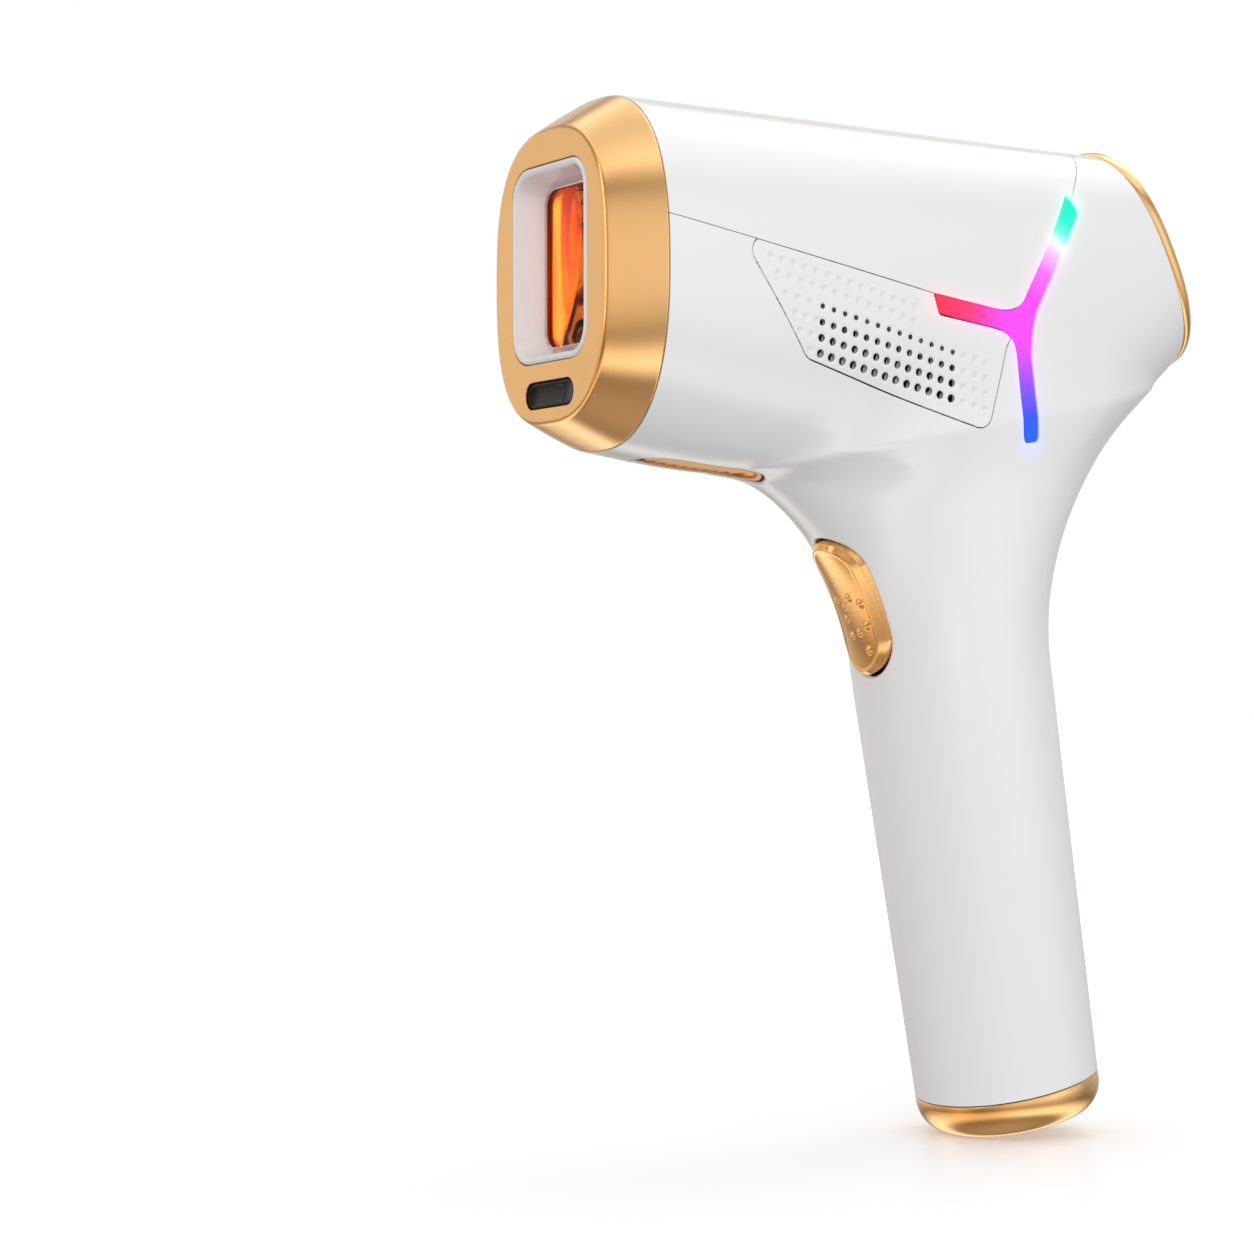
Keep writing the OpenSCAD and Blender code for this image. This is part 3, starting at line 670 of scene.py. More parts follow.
bump = add_node(tree, "ShaderNodeBump", {"Height": weave.outputs["Fac"], "Distance": 0.0002})
tree.links.new(bump.outputs[0], tree.nodes["Principled BSDF"].inputs["Normal"])
give(dust_screen, "left_dust_screen", "right_dust_screen")

# ---- side lights ------------------------------------------------------------
# A milky acrylic guide in the shape of three arms sits flush in each side, lit from the
# board behind it. Its colour runs from magenta at the middle to red, turquoise and blue.
def light_skin(step=0.4):
    ys, zs = np.arange(69, 112, step), np.arange(-31, 24, step)
    y, z = np.meshgrid(ys, zs, indexing="ij")
    places = [fan_place(y, z, fan) for fan in fans]
    near, far = np.full(y.shape, 4.0), np.full(y.shape, 30.0)
    for _ in range(18):
        x = (near + far) / 2
        inside = skin_depth(np.stack([x, y, z], -1), places) < 0
        near, far = np.where(inside, x, near), np.where(inside, far, x)
    number = np.arange(y.size).reshape(y.shape)
    faces = np.stack([number[:-1, :-1], number[1:, :-1], number[1:, 1:], number[:-1, 1:]], -1)
    return np.stack([x, y, z], -1).reshape(-1, 3), [tuple(f) for f in faces.reshape(-1, 4).tolist()]


points, faces = light_skin()
points, faces = trim(points, faces, light_gap(points) + 0.05)
points = roll_lip(points, -light_gap(points), 0.45)
for side, sign in (("left", 1), ("right", -1)):
    turned = faces if sign > 0 else [f[::-1] for f in faces]
    guide = new_piece(side + "_light_guide_skin", points * [sign, 1, 1], turned,
                      "handset", side + "_light_guide")
    thicken(guide, 2.4, 0)
    guides = guides + [guide] if side == "right" else [guide]
light_guide = new_finish("light_guide", Roughness=0.22, IOR=1.3, Emission_Strength=1.0)
tree = light_guide.node_tree
lit = add_node(tree, "ShaderNodeGroup", node_tree=emblem_light)
tree.links.new(lit.outputs["Color"], tree.nodes["Principled BSDF"].inputs["Emission Color"])
dim = add_node(tree, "ShaderNodeMix", {"Factor": 0.95}, data_type="RGBA")
tree.links.new(lit.outputs["Color"], dim.inputs[6])
dim.inputs[7].default_value = (0.02, 0.02, 0.02, 1)
tree.links.new(dim.outputs[2], tree.nodes["Principled BSDF"].inputs["Base Color"])
give(light_guide, *guides)


# Boards are glass-fibre laminate under a solder mask, with raised copper tracks, pads and
# small parts; every board in the handset uses it in its own colour.
def printed_board_group():
    tree, given, out = new_group(
        "printed_board",
        [("Mask", "NodeSocketColor", (0.03, 0.2, 0.08, 1)),
         ("Track", "NodeSocketColor", (0.05, 0.3, 0.12, 1)),
         ("Pad", "NodeSocketColor", (0.75, 0.72, 0.66, 1)), ("Track density", "NodeSocketFloat", 260.0)],
        [("Color", "NodeSocketColor"), ("Roughness", "NodeSocketFloat"), ("Height", "NodeSocketFloat")])
    where = tree.nodes.new("ShaderNodeTexCoord").outputs["Object"]
    cells = add_node(tree, "ShaderNodeTexVoronoi",
                     {"Vector": where, "Scale": given.outputs["Track density"]},
                     distance="MANHATTAN", feature="F1")
    edge = add_node(tree, "ShaderNodeTexVoronoi",
                    {"Vector": where, "Scale": given.outputs["Track density"]},
                    feature="DISTANCE_TO_EDGE")
    track = sums(tree, "LESS_THAN", edge.outputs["Distance"], 0.12)
    pad = sums(tree, "LESS_THAN", cells.outputs["Distance"], 0.16)
    colour = blend_colours(tree, track, given.outputs["Mask"], given.outputs["Track"])
    tree.links.new(blend_colours(tree, pad, colour, given.outputs["Pad"]), out.inputs["Color"])
    tree.links.new(sums(tree, "SUBTRACT", 0.42, sums(tree, "MULTIPLY", pad, 0.15)), out.inputs["Roughness"])
    tree.links.new(sums(tree, "MAXIMUM", track, sums(tree, "MULTIPLY", pad, 1.5)), out.inputs["Height"])
    return tree


printed_board = printed_board_group()
board_white = new_finish("board_white")
use_group(board_white, printed_board, 0.03, Mask=(0.82, 0.82, 0.8, 1), Track=(0.88, 0.88, 0.86, 1))
give(board_white, "left_light_board", "right_light_board")

# ---- treatment head ---------------------------------------------------------
# The gold head is a metallised ABS moulding: a flat face with a softly rounded edge, and
# flanks that swell back to a rim against the white barrel.
face_w, face_h, rim_w, rim_h, head_depth = 43.0, 55.0, 53.6, 66.4, 10.5
window_w, window_h, window_z = 29.0, 37.0, 2.6
sensor_z, sensor_l, sensor_w = -21.9, 18.4, 4.8


def oval_loop(half_w, half_h, squareness, count=144):
    """Evenly spaced points round an oval, anticlockwise seen from the front."""
    t = np.linspace(0, 2 * np.pi, 2880, endpoint=False)
    x = half_w * np.sign(np.cos(t)) * np.abs(np.cos(t)) ** (2 / squareness)
    z = half_h * np.sign(np.sin(t)) * np.abs(np.sin(t)) ** (2 / squareness)
    return even_loop(x, z, count)


def even_loop(x, z, count):
    x, z = np.append(x, x[0]), np.append(z, z[0])
    run = np.concatenate([[0], np.cumsum(np.hypot(np.diff(x), np.diff(z)))])
    at = np.linspace(0, run[-1], count, endpoint=False)
    return np.stack([np.interp(at, run, x), np.interp(at, run, z)], 1)


def rounded_loop(half_w, half_h, radius, count=96):
    t = np.linspace(0, 2 * np.pi, 720, endpoint=False)
    cx, cz = (half_w - radius) * np.sign(np.cos(t)), (half_h - radius) * np.sign(np.sin(t))
    return even_loop(cx + radius * np.cos(t), cz + radius * np.sin(t), count)


def loft_rows(rows, close_first=True, close_last=True, ring=False):
    """Points and faces through rows of points, each row a loop; the ends are closed flat."""
    count = len(rows[0])
    points = np.concatenate(rows)
    faces = []
    last = len(rows) if ring else len(rows) - 1
    for r in range(last):
        a, b = r * count, (r + 1) % len(rows) * count
        faces += [(a + i, b + i, b + (i + 1) % count, a + (i + 1) % count) for i in range(count)]
    if not ring:
        if close_first:
            faces.append(tuple(range(count)))
        if close_last:
            faces.append(tuple((len(rows) - 1) * count + i for i in range(count))[::-1])
    return points, faces


def head_row(y, inset, drop=0.86):
    t = y / head_depth
    loop = oval_loop((face_w + (rim_w - face_w) * t) / 2 - inset,
                     (face_h + (rim_h - face_h) * t) / 2 - inset,
                     2.74 + (2.45 - 2.74) * t)
    return np.stack([loop[:, 0], np.full(len(loop), y), loop[:, 1] + drop * t], 1)


def cut_out(piece, cutter):
    """Takes the cutter's shape out of the piece, and throws the cutter away."""
    modifier = piece.modifiers.new("cut", "BOOLEAN")
    modifier.object, modifier.operation, modifier.solver = cutter, "DIFFERENCE", "EXACT"
    bpy.context.view_layer.update()
    shape = piece.evaluated_get(bpy.context.evaluated_depsgraph_get())
    mesh = bpy.data.meshes.new_from_object(shape)
    piece.modifiers.clear()
    piece.data = mesh
    bpy.data.objects.remove(cutter)


def plug_shape(loop, y0, y1, z):
    points, faces = loft_rows([np.stack([loop[:, 0], np.full(len(loop), y), loop[:, 1] + z],
                                        1) for y in (y0, y1)])
    mesh = bpy.data.meshes.new("cutter")
    mesh.from_pydata(in_metres(points).tolist(), [], faces)
    cutter = bpy.data.objects.new("cutter", mesh)
    bpy.context.scene.collection.objects.link(cutter)
    return cutter


edge_r = 0.75
rows = [head_row(edge_r * (1 - math.cos(a)), edge_r * (1 - math.sin(a))) for a in np.linspace(0, np.pi / 2,
                                                                                              7)]
rows += [head_row(y, -0.12 * math.sin(math.pi * (y - edge_r) / (10.25 - edge_r))) for y in np.linspace(2.2,
    10.1, 10)]
rows += [head_row(10.4, 0.08), head_row(10.5, 0.35), head_row(10.5, 2.2)]
rows += [head_row(6.3, 1.9), head_row(3.2, 2.0), head_row(2.2, 3.2)]
points, faces = loft_rows(rows)
head_bezel = new_piece("head_bezel_moulding", points, faces, "handset", "head_bezel")
window_hole = rounded_loop(window_w / 2 + 0.08, window_h / 2 + 0.08, 6.1)
cut_out(head_bezel, plug_shape(window_hole, -2, 5, window_z))
cut_out(head_bezel, plug_shape(rounded_loop(sensor_l / 2 + 0.15, sensor_w / 2 + 0.15, sensor_w / 2 + 0.149),
                               -2, 5, sensor_z))
soften(head_bezel, 0.18)


# The gold parts share one finish: a vacuum-metallised champagne coat under a satin
# lacquer, with a faint orange peel, fine flake and soft variation in its sheen.
def metallised_coat_group():
    tree, given, out = new_group(
        "metallised_coat",
        [("Color", "NodeSocketColor", (0.8, 0.5, 0.25, 1)),
         ("Deep", "NodeSocketColor", (0.7, 0.4, 0.17, 1)),
         ("Roughness", "NodeSocketFloat", 0.3), ("Smudge", "NodeSocketFloat", 0.1)],
        [("Color", "NodeSocketColor"), ("Roughness", "NodeSocketFloat"), ("Height", "NodeSocketFloat")])
    where = tree.nodes.new("ShaderNodeTexCoord").outputs["Object"]
    flake = add_node(tree, "ShaderNodeTexVoronoi", {"Vector": where, "Scale": 5200.0}, feature="F1")
    tone = sums(tree, "MULTIPLY", add_node(tree, "ShaderNodeSeparateColor",
                                           {0: flake.outputs["Color"]}).outputs[0], 0.3)
    slow = sums(tree, "MULTIPLY", noise(tree, where, 30.0, 3.0), 0.5)
    mix = sums(tree, "ADD", tone, slow)
    tree.links.new(blend_colours(tree, mix, given.outputs["Color"], given.outputs["Deep"]),
                   out.inputs["Color"])
    smear = sums(tree, "POWER", noise(tree, where, 75.0, 4.0, (1, 0.6, 0.3)), 2.0)
    rough = sums(tree, "ADD", given.outputs["Roughness"],
                 sums(tree, "MULTIPLY", smear, given.outputs["Smudge"]))
    tree.links.new(rough, out.inputs["Roughness"])
    peel = noise(tree, where, 700.0, 2.0)
    tree.links.new(sums(tree, "ADD", peel, sums(tree, "MULTIPLY", tone, 0.4)), out.inputs["Height"])
    return tree


metallised_coat = metallised_coat_group()
champagne_gold = new_finish("champagne_gold", Metallic=1.0)
use_group(champagne_gold, metallised_coat, 0.002, Color=(0.92, 0.59, 0.28, 1), Deep=(0.86, 0.52, 0.22, 1),
          Roughness=0.2, Smudge=0.1)
give(champagne_gold, head_bezel)

# ---- window frame and gasket ------------------------------------------------
# A gloss-white frame lines the window. Its lip stands just proud of the gold face and
# its walls draw in towards the glass, which a clear silicone gasket seals.
def window_row(y, inset, radius):
    loop = rounded_loop(window_w / 2 - inset, window_h / 2 - inset, radius)
    return np.stack([loop[:, 0], np.full(len(loop), y), loop[:, 1] + window_z], 1)


frame_rows = [(8.2, 0.0, 6.0), (0.5, 0.0, 6.0), (0.08, 0.15, 5.85), (-0.15, 0.5, 5.5), (-0.15, 0.8, 5.2),
              (0.05, 1.2, 4.8), (0.5, 1.45, 4.6), (1.2, 1.65, 4.4), (3.0, 2.45, 3.9), (5.0, 3.35, 3.4),
              (5.3, 3.4, 3.35), (5.35, 2.2, 3.8), (8.2, 2.0, 4.0)]
points, faces = loft_rows([window_row(*row) for row in frame_rows], ring=True)
window_frame = new_piece("window_frame_moulding", points, faces[::-1], "handset", "window_frame")
gasket_rows = [(5.38, 2.25, 3.8), (5.38, 3.55, 3.2), (5.6, 3.6, 3.2), (5.69, 3.3, 3.4), (5.69, 2.25, 3.8)]
points, faces = loft_rows([window_row(*row) for row in gasket_rows], ring=True)
gasket = new_piece("window_gasket_ring", points, faces, "handset", "window_gasket")
window_white = new_finish("window_white", Coat_Weight=0.4, Coat_Roughness=0.05)
use_group(window_white, moulded_plastic, 0.002, Color=(0.8, 0.8, 0.81, 1), Roughness=0.22)
give(window_white, window_frame)
clear_silicone = new_finish("clear_silicone", Transmission_Weight=0.6, IOR=1.41)
use_group(clear_silicone, moulded_plastic, 0.004, Color=(0.85, 0.85, 0.85, 1), Roughness=0.4)
give(clear_silicone, gasket)

# ---- filter glass -----------------------------------------------------------
# The filter is a polished plate of orange-red glass, ground to rounded corners, that
# passes only the long light of the flash.
points, faces = loft_rows([window_row(y, inset, 3.9) for y, inset in
                           ((5.7, 2.35), (5.95, 2.1), (7.95, 2.1), (8.18, 2.35))])
filter_glass = new_piece("filter_glass_plate", points, faces, "handset", "filter_glass")
orange_filter = new_finish("orange_filter", Transmission_Weight=1.0, IOR=1.35)
use_group(orange_filter, moulded_plastic, 0.0, Color=(1.0, 0.31, 0.02, 1), Tone_drift=0.05,
          Roughness=0.015, Marks=0.04)
give(orange_filter, filter_glass)

# ---- flash lamp and reflector -----------------------------------------------
# A fused-quartz tube with nickel end caps holds the xenon arc. It sits in ceramic holders
# in front of a bright trough of rolled aluminium.
lamp_y = 16.0


def turned_piece(name, centre, outline, body, node, axis="z", count=48, turn=None):
    """A turned part: its outline is radius and place along the axis, from end to end."""
    t = np.linspace(0, 2 * np.pi, count, endpoint=False)
    rows = []
    for radius, at in outline:
        a, b, c = radius * np.cos(t), radius * np.sin(t), np.full(count, float(at))
        local = {"z": (a, b, c), "x": (c, a, b), "y": (b, c, a)}[axis]
        rows.append(np.stack(local, 1))
    points, faces = loft_rows([(turn(row) if turn else row) + centre for row in rows])
    return new_piece(name, points, [f[::-1] for f in faces], body, node)


lamp = turned_piece("flash_lamp_tube", [0, lamp_y, window_z],
                    [(1.0, -17), (1.9, -16.8), (2.5, -16), (2.5, 16), (1.9, 16.8), (1.0, 17)],
                    "handset", "flash_lamp")
arc = turned_piece("flash_lamp_arc", [0, lamp_y, window_z],
                   [(0.25, -15.5), (0.7, -14.8), (0.85, -10), (0.85, 10), (0.7, 14.8), (0.25, 15.5)],
                   "handset", None)
s = np.linspace(-1, 1, 41)
trough_y = 21.4 - 10.6 * np.abs(s) ** 2
trough_x = 9.6 * np.sign(s) * np.sqrt(np.clip((21.4 - trough_y) / 10.8, 0, None))
rows = []
for z in np.linspace(-16.5, 16.5, 12):
    rows.append(np.stack([trough_x, trough_y, np.full(41, z + window_z)], 1))
points = np.concatenate(rows)
faces = [(r * 41 + i, r * 41 + i + 1, (r + 1) * 41 + i + 1,
          (r + 1) * 41 + i) for r in range(11) for i in range(40)]
reflector = new_piece("reflector_trough", points, faces, "handset", "reflector")
shell = reflector.modifiers.new("wall", "SOLIDIFY")
shell.thickness, shell.offset = 0.0005, 0
quartz = new_finish("quartz", Transmission_Weight=1.0, IOR=1.46)
use_group(quartz, moulded_plastic, 0.0, Color=(1.0, 0.97, 0.9, 1), Tone_drift=0.05, Roughness=0.01,
          Marks=0.03)
give(quartz, lamp)
arc_glow = new_finish("arc_glow", Emission_Strength=5.0, Emission_Color=(1.0, 0.62, 0.25, 1))
use_group(arc_glow, moulded_plastic, 0.0, Color=(1.0, 0.8, 0.5, 1), Roughness=0.4)
give(arc_glow, arc)


# Bare metal parts share fine drawn streaks and a slow stain in their shine
def worked_metal_group():
    tree, given, out = new_group(
        "worked_metal",
        [("Color", "NodeSocketColor", (0.8, 0.8, 0.8, 1)),
         ("Tarnish", "NodeSocketColor", (0.6, 0.6, 0.6, 1)),
         ("Roughness", "NodeSocketFloat", 0.25), ("Streaks", "NodeSocketFloat", 900.0)],
        [("Color", "NodeSocketColor"), ("Roughness", "NodeSocketFloat"), ("Height", "NodeSocketFloat")])
    where = tree.nodes.new("ShaderNodeTexCoord").outputs["Object"]
    long = add_node(tree, "ShaderNodeMapping", {"Vector": where, "Scale": (1, 1, 0.04)}).outputs[0]
    streak = add_node(tree, "ShaderNodeTexNoise",
                      {"Vector": long, "Scale": given.outputs["Streaks"], "Detail": 3.0}).outputs[0]
    stain = sums(tree, "POWER", noise(tree, where, 90.0, 4.0), 2.0)
    tree.links.new(blend_colours(tree, stain, given.outputs["Color"], given.outputs["Tarnish"]),
                   out.inputs["Color"])
    tree.links.new(sums(tree, "ADD", given.outputs["Roughness"], sums(tree, "MULTIPLY", streak, 0.18)),
                   out.inputs["Roughness"])
    tree.links.new(streak, out.inputs["Height"])
    return tree


worked_metal = worked_metal_group()
# Painted glow: the reflector emits orange-red light, brightest at mid-height and darker at top and bottom,
# painted in for the lamp's light on it
reflector_painted_glow = new_finish("reflector_painted_glow", Metallic=0.6, Emission_Strength=1.0)
use_group(reflector_painted_glow, worked_metal, 0.003, Color=(0.9, 0.88, 0.84, 1), Tarnish=(0.8, 0.76, 0.7, 1),
          Roughness=0.16)
tree = reflector_painted_glow.node_tree
place = add_node(tree, "ShaderNodeSeparateXYZ", {0: tree.nodes.new("ShaderNodeTexCoord").outputs["Object"]})
height = add_node(tree, "ShaderNodeMapRange", {0: place.outputs[2], 1: (axis_z - 17) / 1000,
                                               2: (axis_z + 17) / 1000}).outputs[0]
painted_glow = colour_ramp(tree, height, [(0.0, (0.45, 0.02, 0.01, 1)), (0.25, (0.7, 0.1, 0.03, 1)),
                                  (0.5, (1.0, 0.5, 0.15, 1)),
                                  (0.72, (0.8, 0.2, 0.05, 1)), (1.0, (0.45, 0.02, 0.01, 1))])
tree.links.new(painted_glow, tree.nodes["Principled BSDF"].inputs["Emission Color"])
give(reflector_painted_glow, reflector)

# ---- skin sensor ------------------------------------------------------------
# Below the window a smoked polycarbonate lens covers the skin sensors. It has a square
# cell on one side and a round lens cup on the other.
def sensor_row(y, inset):
    loop = rounded_loop(sensor_l / 2 - inset, sensor_w / 2 - inset, sensor_w / 2 - inset - 0.001)
    return np.stack([loop[:, 0], np.full(len(loop), y), loop[:, 1] + sensor_z], 1)


points, faces = loft_rows([sensor_row(y, inset) for y, inset in
                           ((0.62, 0.75), (0.5, 0.62), (0.42, 0.4), (0.5, 0.12), (0.8, 0.0), (2.4, 0.0))])
sensor_lens = new_piece("skin_sensor_cover", points, faces, "handset", "skin_sensor_lens")
sensor_cup = turned_piece("skin_sensor_cup", [3.4, 0.62, sensor_z],
                          [(1.55, 0.3), (1.75, -0.02), (1.62, -0.1), (1.45, -0.02), (1.1, 0.12),
                           (0.4, 0.16)],
                          "handset", None, axis="y")
smoked_black = new_finish("smoked_black", IOR=1.25)
use_group(smoked_black, moulded_plastic, 0.001, Color=(0.006, 0.006, 0.007, 1), Tone_drift=0.2,
          Roughness=0.2, Marks=0.12)
give(smoked_black, sensor_lens)
sensor_glass = new_finish("sensor_glass", IOR=1.35)
use_group(sensor_glass, moulded_plastic, 0.001, Color=(0.02, 0.022, 0.026, 1), Tone_drift=0.4,
          Roughness=0.25, Marks=0.1)
give(sensor_glass, sensor_cup)
board_green = new_finish("board_green")
use_group(board_green, printed_board, 0.03)
give(board_green, "skin_sensor_board")

# ---- lamp mounting and cooling ----------------------------------------------
# Thermoelectric coolers chill an aluminium frame behind the glass. A copper spreader and a
# finned aluminium sink carry their heat into the blower's air.
bare_aluminium = new_finish("bare_aluminium", Metallic=1.0)
use_group(bare_aluminium, worked_metal, 0.004, Color=(0.86, 0.87, 0.88, 1), Tarnish=(0.7, 0.71, 0.73, 1),
          Roughness=0.2)
give(bare_aluminium, "cold_frame", "heat_sink")
copper = new_finish("copper", Metallic=1.0)
use_group(copper, worked_metal, 0.004, Color=(0.9, 0.48, 0.32, 1), Tarnish=(0.5, 0.22, 0.12, 1),
          Roughness=0.28)
give(copper, "heat_spreader")
nickel = new_finish("nickel", Metallic=1.0)
use_group(nickel, worked_metal, 0.002, Color=(0.78, 0.75, 0.7, 1), Tarnish=(0.62, 0.58, 0.52, 1),
          Roughness=0.14)
give(nickel, "lamp_end_caps")
zinc_steel = new_finish("zinc_steel", Metallic=1.0)
use_group(zinc_steel, worked_metal, 0.003, Color=(0.66, 0.68, 0.7, 1), Tarnish=(0.42, 0.44, 0.46, 1),
          Roughness=0.3)
give(zinc_steel, "bulkhead_screws")
white_ceramic = new_finish("white_ceramic")
use_group(white_ceramic, moulded_plastic, 0.012, Color=(0.86, 0.85, 0.81, 1), Tone_drift=0.08,
          Grain_size=1500.0, Roughness=0.55)
give(white_ceramic, "cooler_modules", "lamp_holders")
chassis_plastic = new_finish("chassis_plastic")
use_group(chassis_plastic, moulded_plastic, 0.012, Color=(0.74, 0.74, 0.72, 1), Tone_drift=0.05,
          Roughness=0.5)
give(chassis_plastic, "front_bulkhead")
coil_winding = new_finish("coil_winding", Metallic=0.7)
tree = coil_winding.node_tree
where = tree.nodes.new("ShaderNodeTexCoord").outputs["Object"]
turns = add_node(tree, "ShaderNodeTexWave", {"Vector": where, "Scale": 420.0, "Distortion": 0.4},
                 bands_direction="Y")
tree.links.new(colour_ramp(tree, turns.outputs[0],
                           [(0.0, (0.22, 0.05, 0.015, 1)), (1.0, (0.75, 0.3, 0.1, 1))]),
               tree.nodes["Principled BSDF"].inputs["Base Color"])
bump = add_node(tree, "ShaderNodeBump", {"Height": turns.outputs[0], "Distance": 0.0003})
tree.links.new(bump.outputs[0], tree.nodes["Principled BSDF"].inputs["Normal"])
give(coil_winding, "trigger_coil")

# ---- blower and barrel boards -----------------------------------------------
# A centrifugal blower in a black nylon scroll draws air through both vent panels. The
# main board and the switch that fires the lamp lie above it.
black_plastic = new_finish("black_plastic")
use_group(black_plastic, moulded_plastic, 0.02, Color=(0.022, 0.022, 0.024, 1), Tone_drift=0.3,
          Grain_size=1800.0,
          Roughness=0.42, Marks=0.15)
give(black_plastic, "blower_case", "blower_cover", "blower_impeller", "power_switch_chip")
give(board_green, "main_board")

# ---- outlet grille ----------------------------------------------------------
# A bronze-gold louvre snaps into the slot under the barrel. Eleven slanted bars stand in a
# rounded frame and let the warm air out.
grille_top = -30.2


def under_barrel(x, y):
    """The height of the barrel's lower skin at a place under it."""
    low, high = np.full(x.shape, -48.0), np.full(x.shape, -25.0)
    for _ in range(20):
        z = (low + high) / 2
        outside = skin_depth(np.stack([x, y, z], 1)) > 0
        low, high = np.where(outside, z, low), np.where(outside, high, z)
    return z


rows = []
for depth, inset in ((None, 1.3), (None, 0.0), (0.75, 0.0), (0.5, 0.12), (0.4, 0.4), (0.4, 0.95),
                     (0.5, 1.2), (1.0, 1.3)):
    loop = rounded_loop(outlet_w / 2 - inset, outlet_l / 2 - inset, outlet_w / 2 - inset - 0.001, 88)
    y = loop[:, 1] + outlet_y
    z = np.full(len(loop), grille_top) if depth is None else under_barrel(loop[:, 0], y) + depth
    rows.append(np.stack([loop[:, 0], y, z], 1))
points, faces = loft_rows(rows, ring=True)
parts = [(points, faces)]
bar = np.array([(-0.95, 0.1), (-0.75, -0.2), (0.55, -1.15), (0.8, -1.1), (0.95, -0.8), (-0.55, 0.35)])
for i in range(-5, 6):
    over = max(0.0, abs(i * 2.3) - (outlet_l - outlet_w) / 2)
    half = math.sqrt(max(0.2, (outlet_w / 2 - 1.1) ** 2 - over ** 2)) + 0.2
    rows = []
    for x in np.linspace(-half, half, 13):
        base = under_barrel(np.array([x]), np.array([outlet_y + i * 2.3]))[0] + 1.9
        rows.append(np.stack([np.full(6, x), outlet_y + i * 2.3 + bar[:, 0], base + bar[:, 1]], 1))
    parts.append(loft_rows(rows))
total, all_points, all_faces = 0, [], []
for points, faces in parts:
    all_points.append(points)
    all_faces += [tuple(i + total for i in f) for f in faces]
    total += len(points)


def face_outwards(piece):
    mesh = bmesh.new()
    mesh.from_mesh(piece.data)
    bmesh.ops.recalc_face_normals(mesh, faces=mesh.faces)
    mesh.to_mesh(piece.data)
    mesh.free()


grille = new_piece("outlet_louvre", np.concatenate(all_points), all_faces, "handset", "outlet_grille")
face_outwards(grille)
soften(grille, 0.1, 2, 35)
bronze_gold = new_finish("bronze_gold", Metallic=1.0)
use_group(bronze_gold, metallised_coat, 0.004, Color=(0.55, 0.3, 0.12, 1), Deep=(0.42, 0.2, 0.07, 1),
          Roughness=0.24)
give(bronze_gold, grille)

# ---- rear ring and panel ----------------------------------------------------
# A satin gold ring closes the barrel's sloping rear face round a gloss-white control
# panel. The panel carries a smoked display window and two gold keys.
def from_rear(points):
    c, s = math.cos(ring_tilt), math.sin(ring_tilt)
    y = ring_mid[0] + points[:, 1] * c - points[:, 2] * s
    z = ring_mid[1] + points[:, 1] * s + points[:, 2] * c
    return np.stack([points[:, 0], y, z], 1)


def rear_row(y, inset):
    loop = oval_loop(ring_half_w - inset, ring_half_h - inset, 2.45, 128)
    return from_rear(np.stack([loop[:, 0], np.full(len(loop), y), loop[:, 1]], 1))


ring_rows = [(0.07, 2.05), (0.07, 0.12), (0.2, -0.02), (1.3, 0.0), (2.0, 0.1), (2.45, 0.36), (2.7, 0.85),
             (2.7, 1.25), (2.5, 1.75), (2.1, 2.0), (1.2, 2.05)]
points, faces = loft_rows([rear_row(*row) for row in ring_rows], ring=True)
rear_ring = new_piece("rear_ring_trim", points, faces, "handset", "rear_ring")
face_outwards(rear_ring)
give(champagne_gold, rear_ring)
power_z, mode_z, display_z = -13.0, -3.5, 9.0
power_r, mode_r = 4.2, 3.0
panel_rows = [(0.1, 2.15), (1.7, 2.15), (2.02, 2.35), (2.2, 2.8), (2.3, 5.0), (2.3, 5.1)]
points, faces = loft_rows([rear_row(*row) for row in panel_rows])
rear_panel = new_piece("rear_panel_moulding", points, faces, "handset", "rear_panel")
face_outwards(rear_panel)


def rear_plug(loop, y0, y1, z):
    rows = [from_rear(np.stack([loop[:, 0], np.full(len(loop), y), loop[:, 1] + z], 1)) for y in (y0, y1)]
    points, faces = loft_rows(rows)
    mesh = bpy.data.meshes.new("cutter")
    mesh.from_pydata(in_metres(points).tolist(), [], faces)
    cutter = bpy.data.objects.new("cutter", mesh)
    bpy.context.scene.collection.objects.link(cutter)
    face_outwards(cutter)
    return cutter


cut_out(rear_panel, rear_plug(rounded_loop(power_r + 0.2, power_r + 0.2, power_r + 0.199, 64), -1, 4,
                              power_z))
cut_out(rear_panel, rear_plug(rounded_loop(mode_r + 0.2, mode_r + 0.2, mode_r + 0.199, 48), -1, 4, mode_z))
cut_out(rear_panel, rear_plug(rounded_loop(9.1, 7.1, 3.1, 64), -1, 4, display_z))
soften(rear_panel, 0.2)
give(white_shell, rear_panel)
give(board_green, "rear_board")
give(black_plastic, "rear_switches")

# ---- display ----------------------------------------------------------------
# The display shows the power level as nine small bars behind a smoked acrylic lens.
rows = []
for y, inset in ((1.0, 0.0), (2.1, 0.0), (2.25, 0.08), (2.33, 0.3), (2.36, 3.0)):
    loop = rounded_loop(9.0 - inset, 7.0 - inset, 3.0 - inset * 0.4, 64)
    rows.append(from_rear(np.stack([loop[:, 0], np.full(len(loop), y), loop[:, 1] + display_z], 1)))
points, faces = loft_rows(rows)
display_lens = new_piece("display_lens_cover", points, faces, "handset", "display_lens")
face_outwards(display_lens)
give(smoked_black, display_lens)
bars, bar_faces, total = [], [], 0
for i in range(9):
    height = 1.2 + i * 0.42
    loop = rounded_loop(0.55, height / 2, 0.25, 24)
    rows = [from_rear(np.stack([loop[:, 0] + (4 - i) * 1.55, np.full(24, y),
                                loop[:, 1] + display_z - 2.6 + height / 2], 1))
            for y in (2.34, 2.4)]
    points, faces = loft_rows(rows)
    bars.append(points)
    bar_faces += [tuple(k + total for k in f) for f in faces]
    total += len(points)
level_bars = new_piece("display_level_bars", np.concatenate(bars), bar_faces, "handset", None)
face_outwards(level_bars)
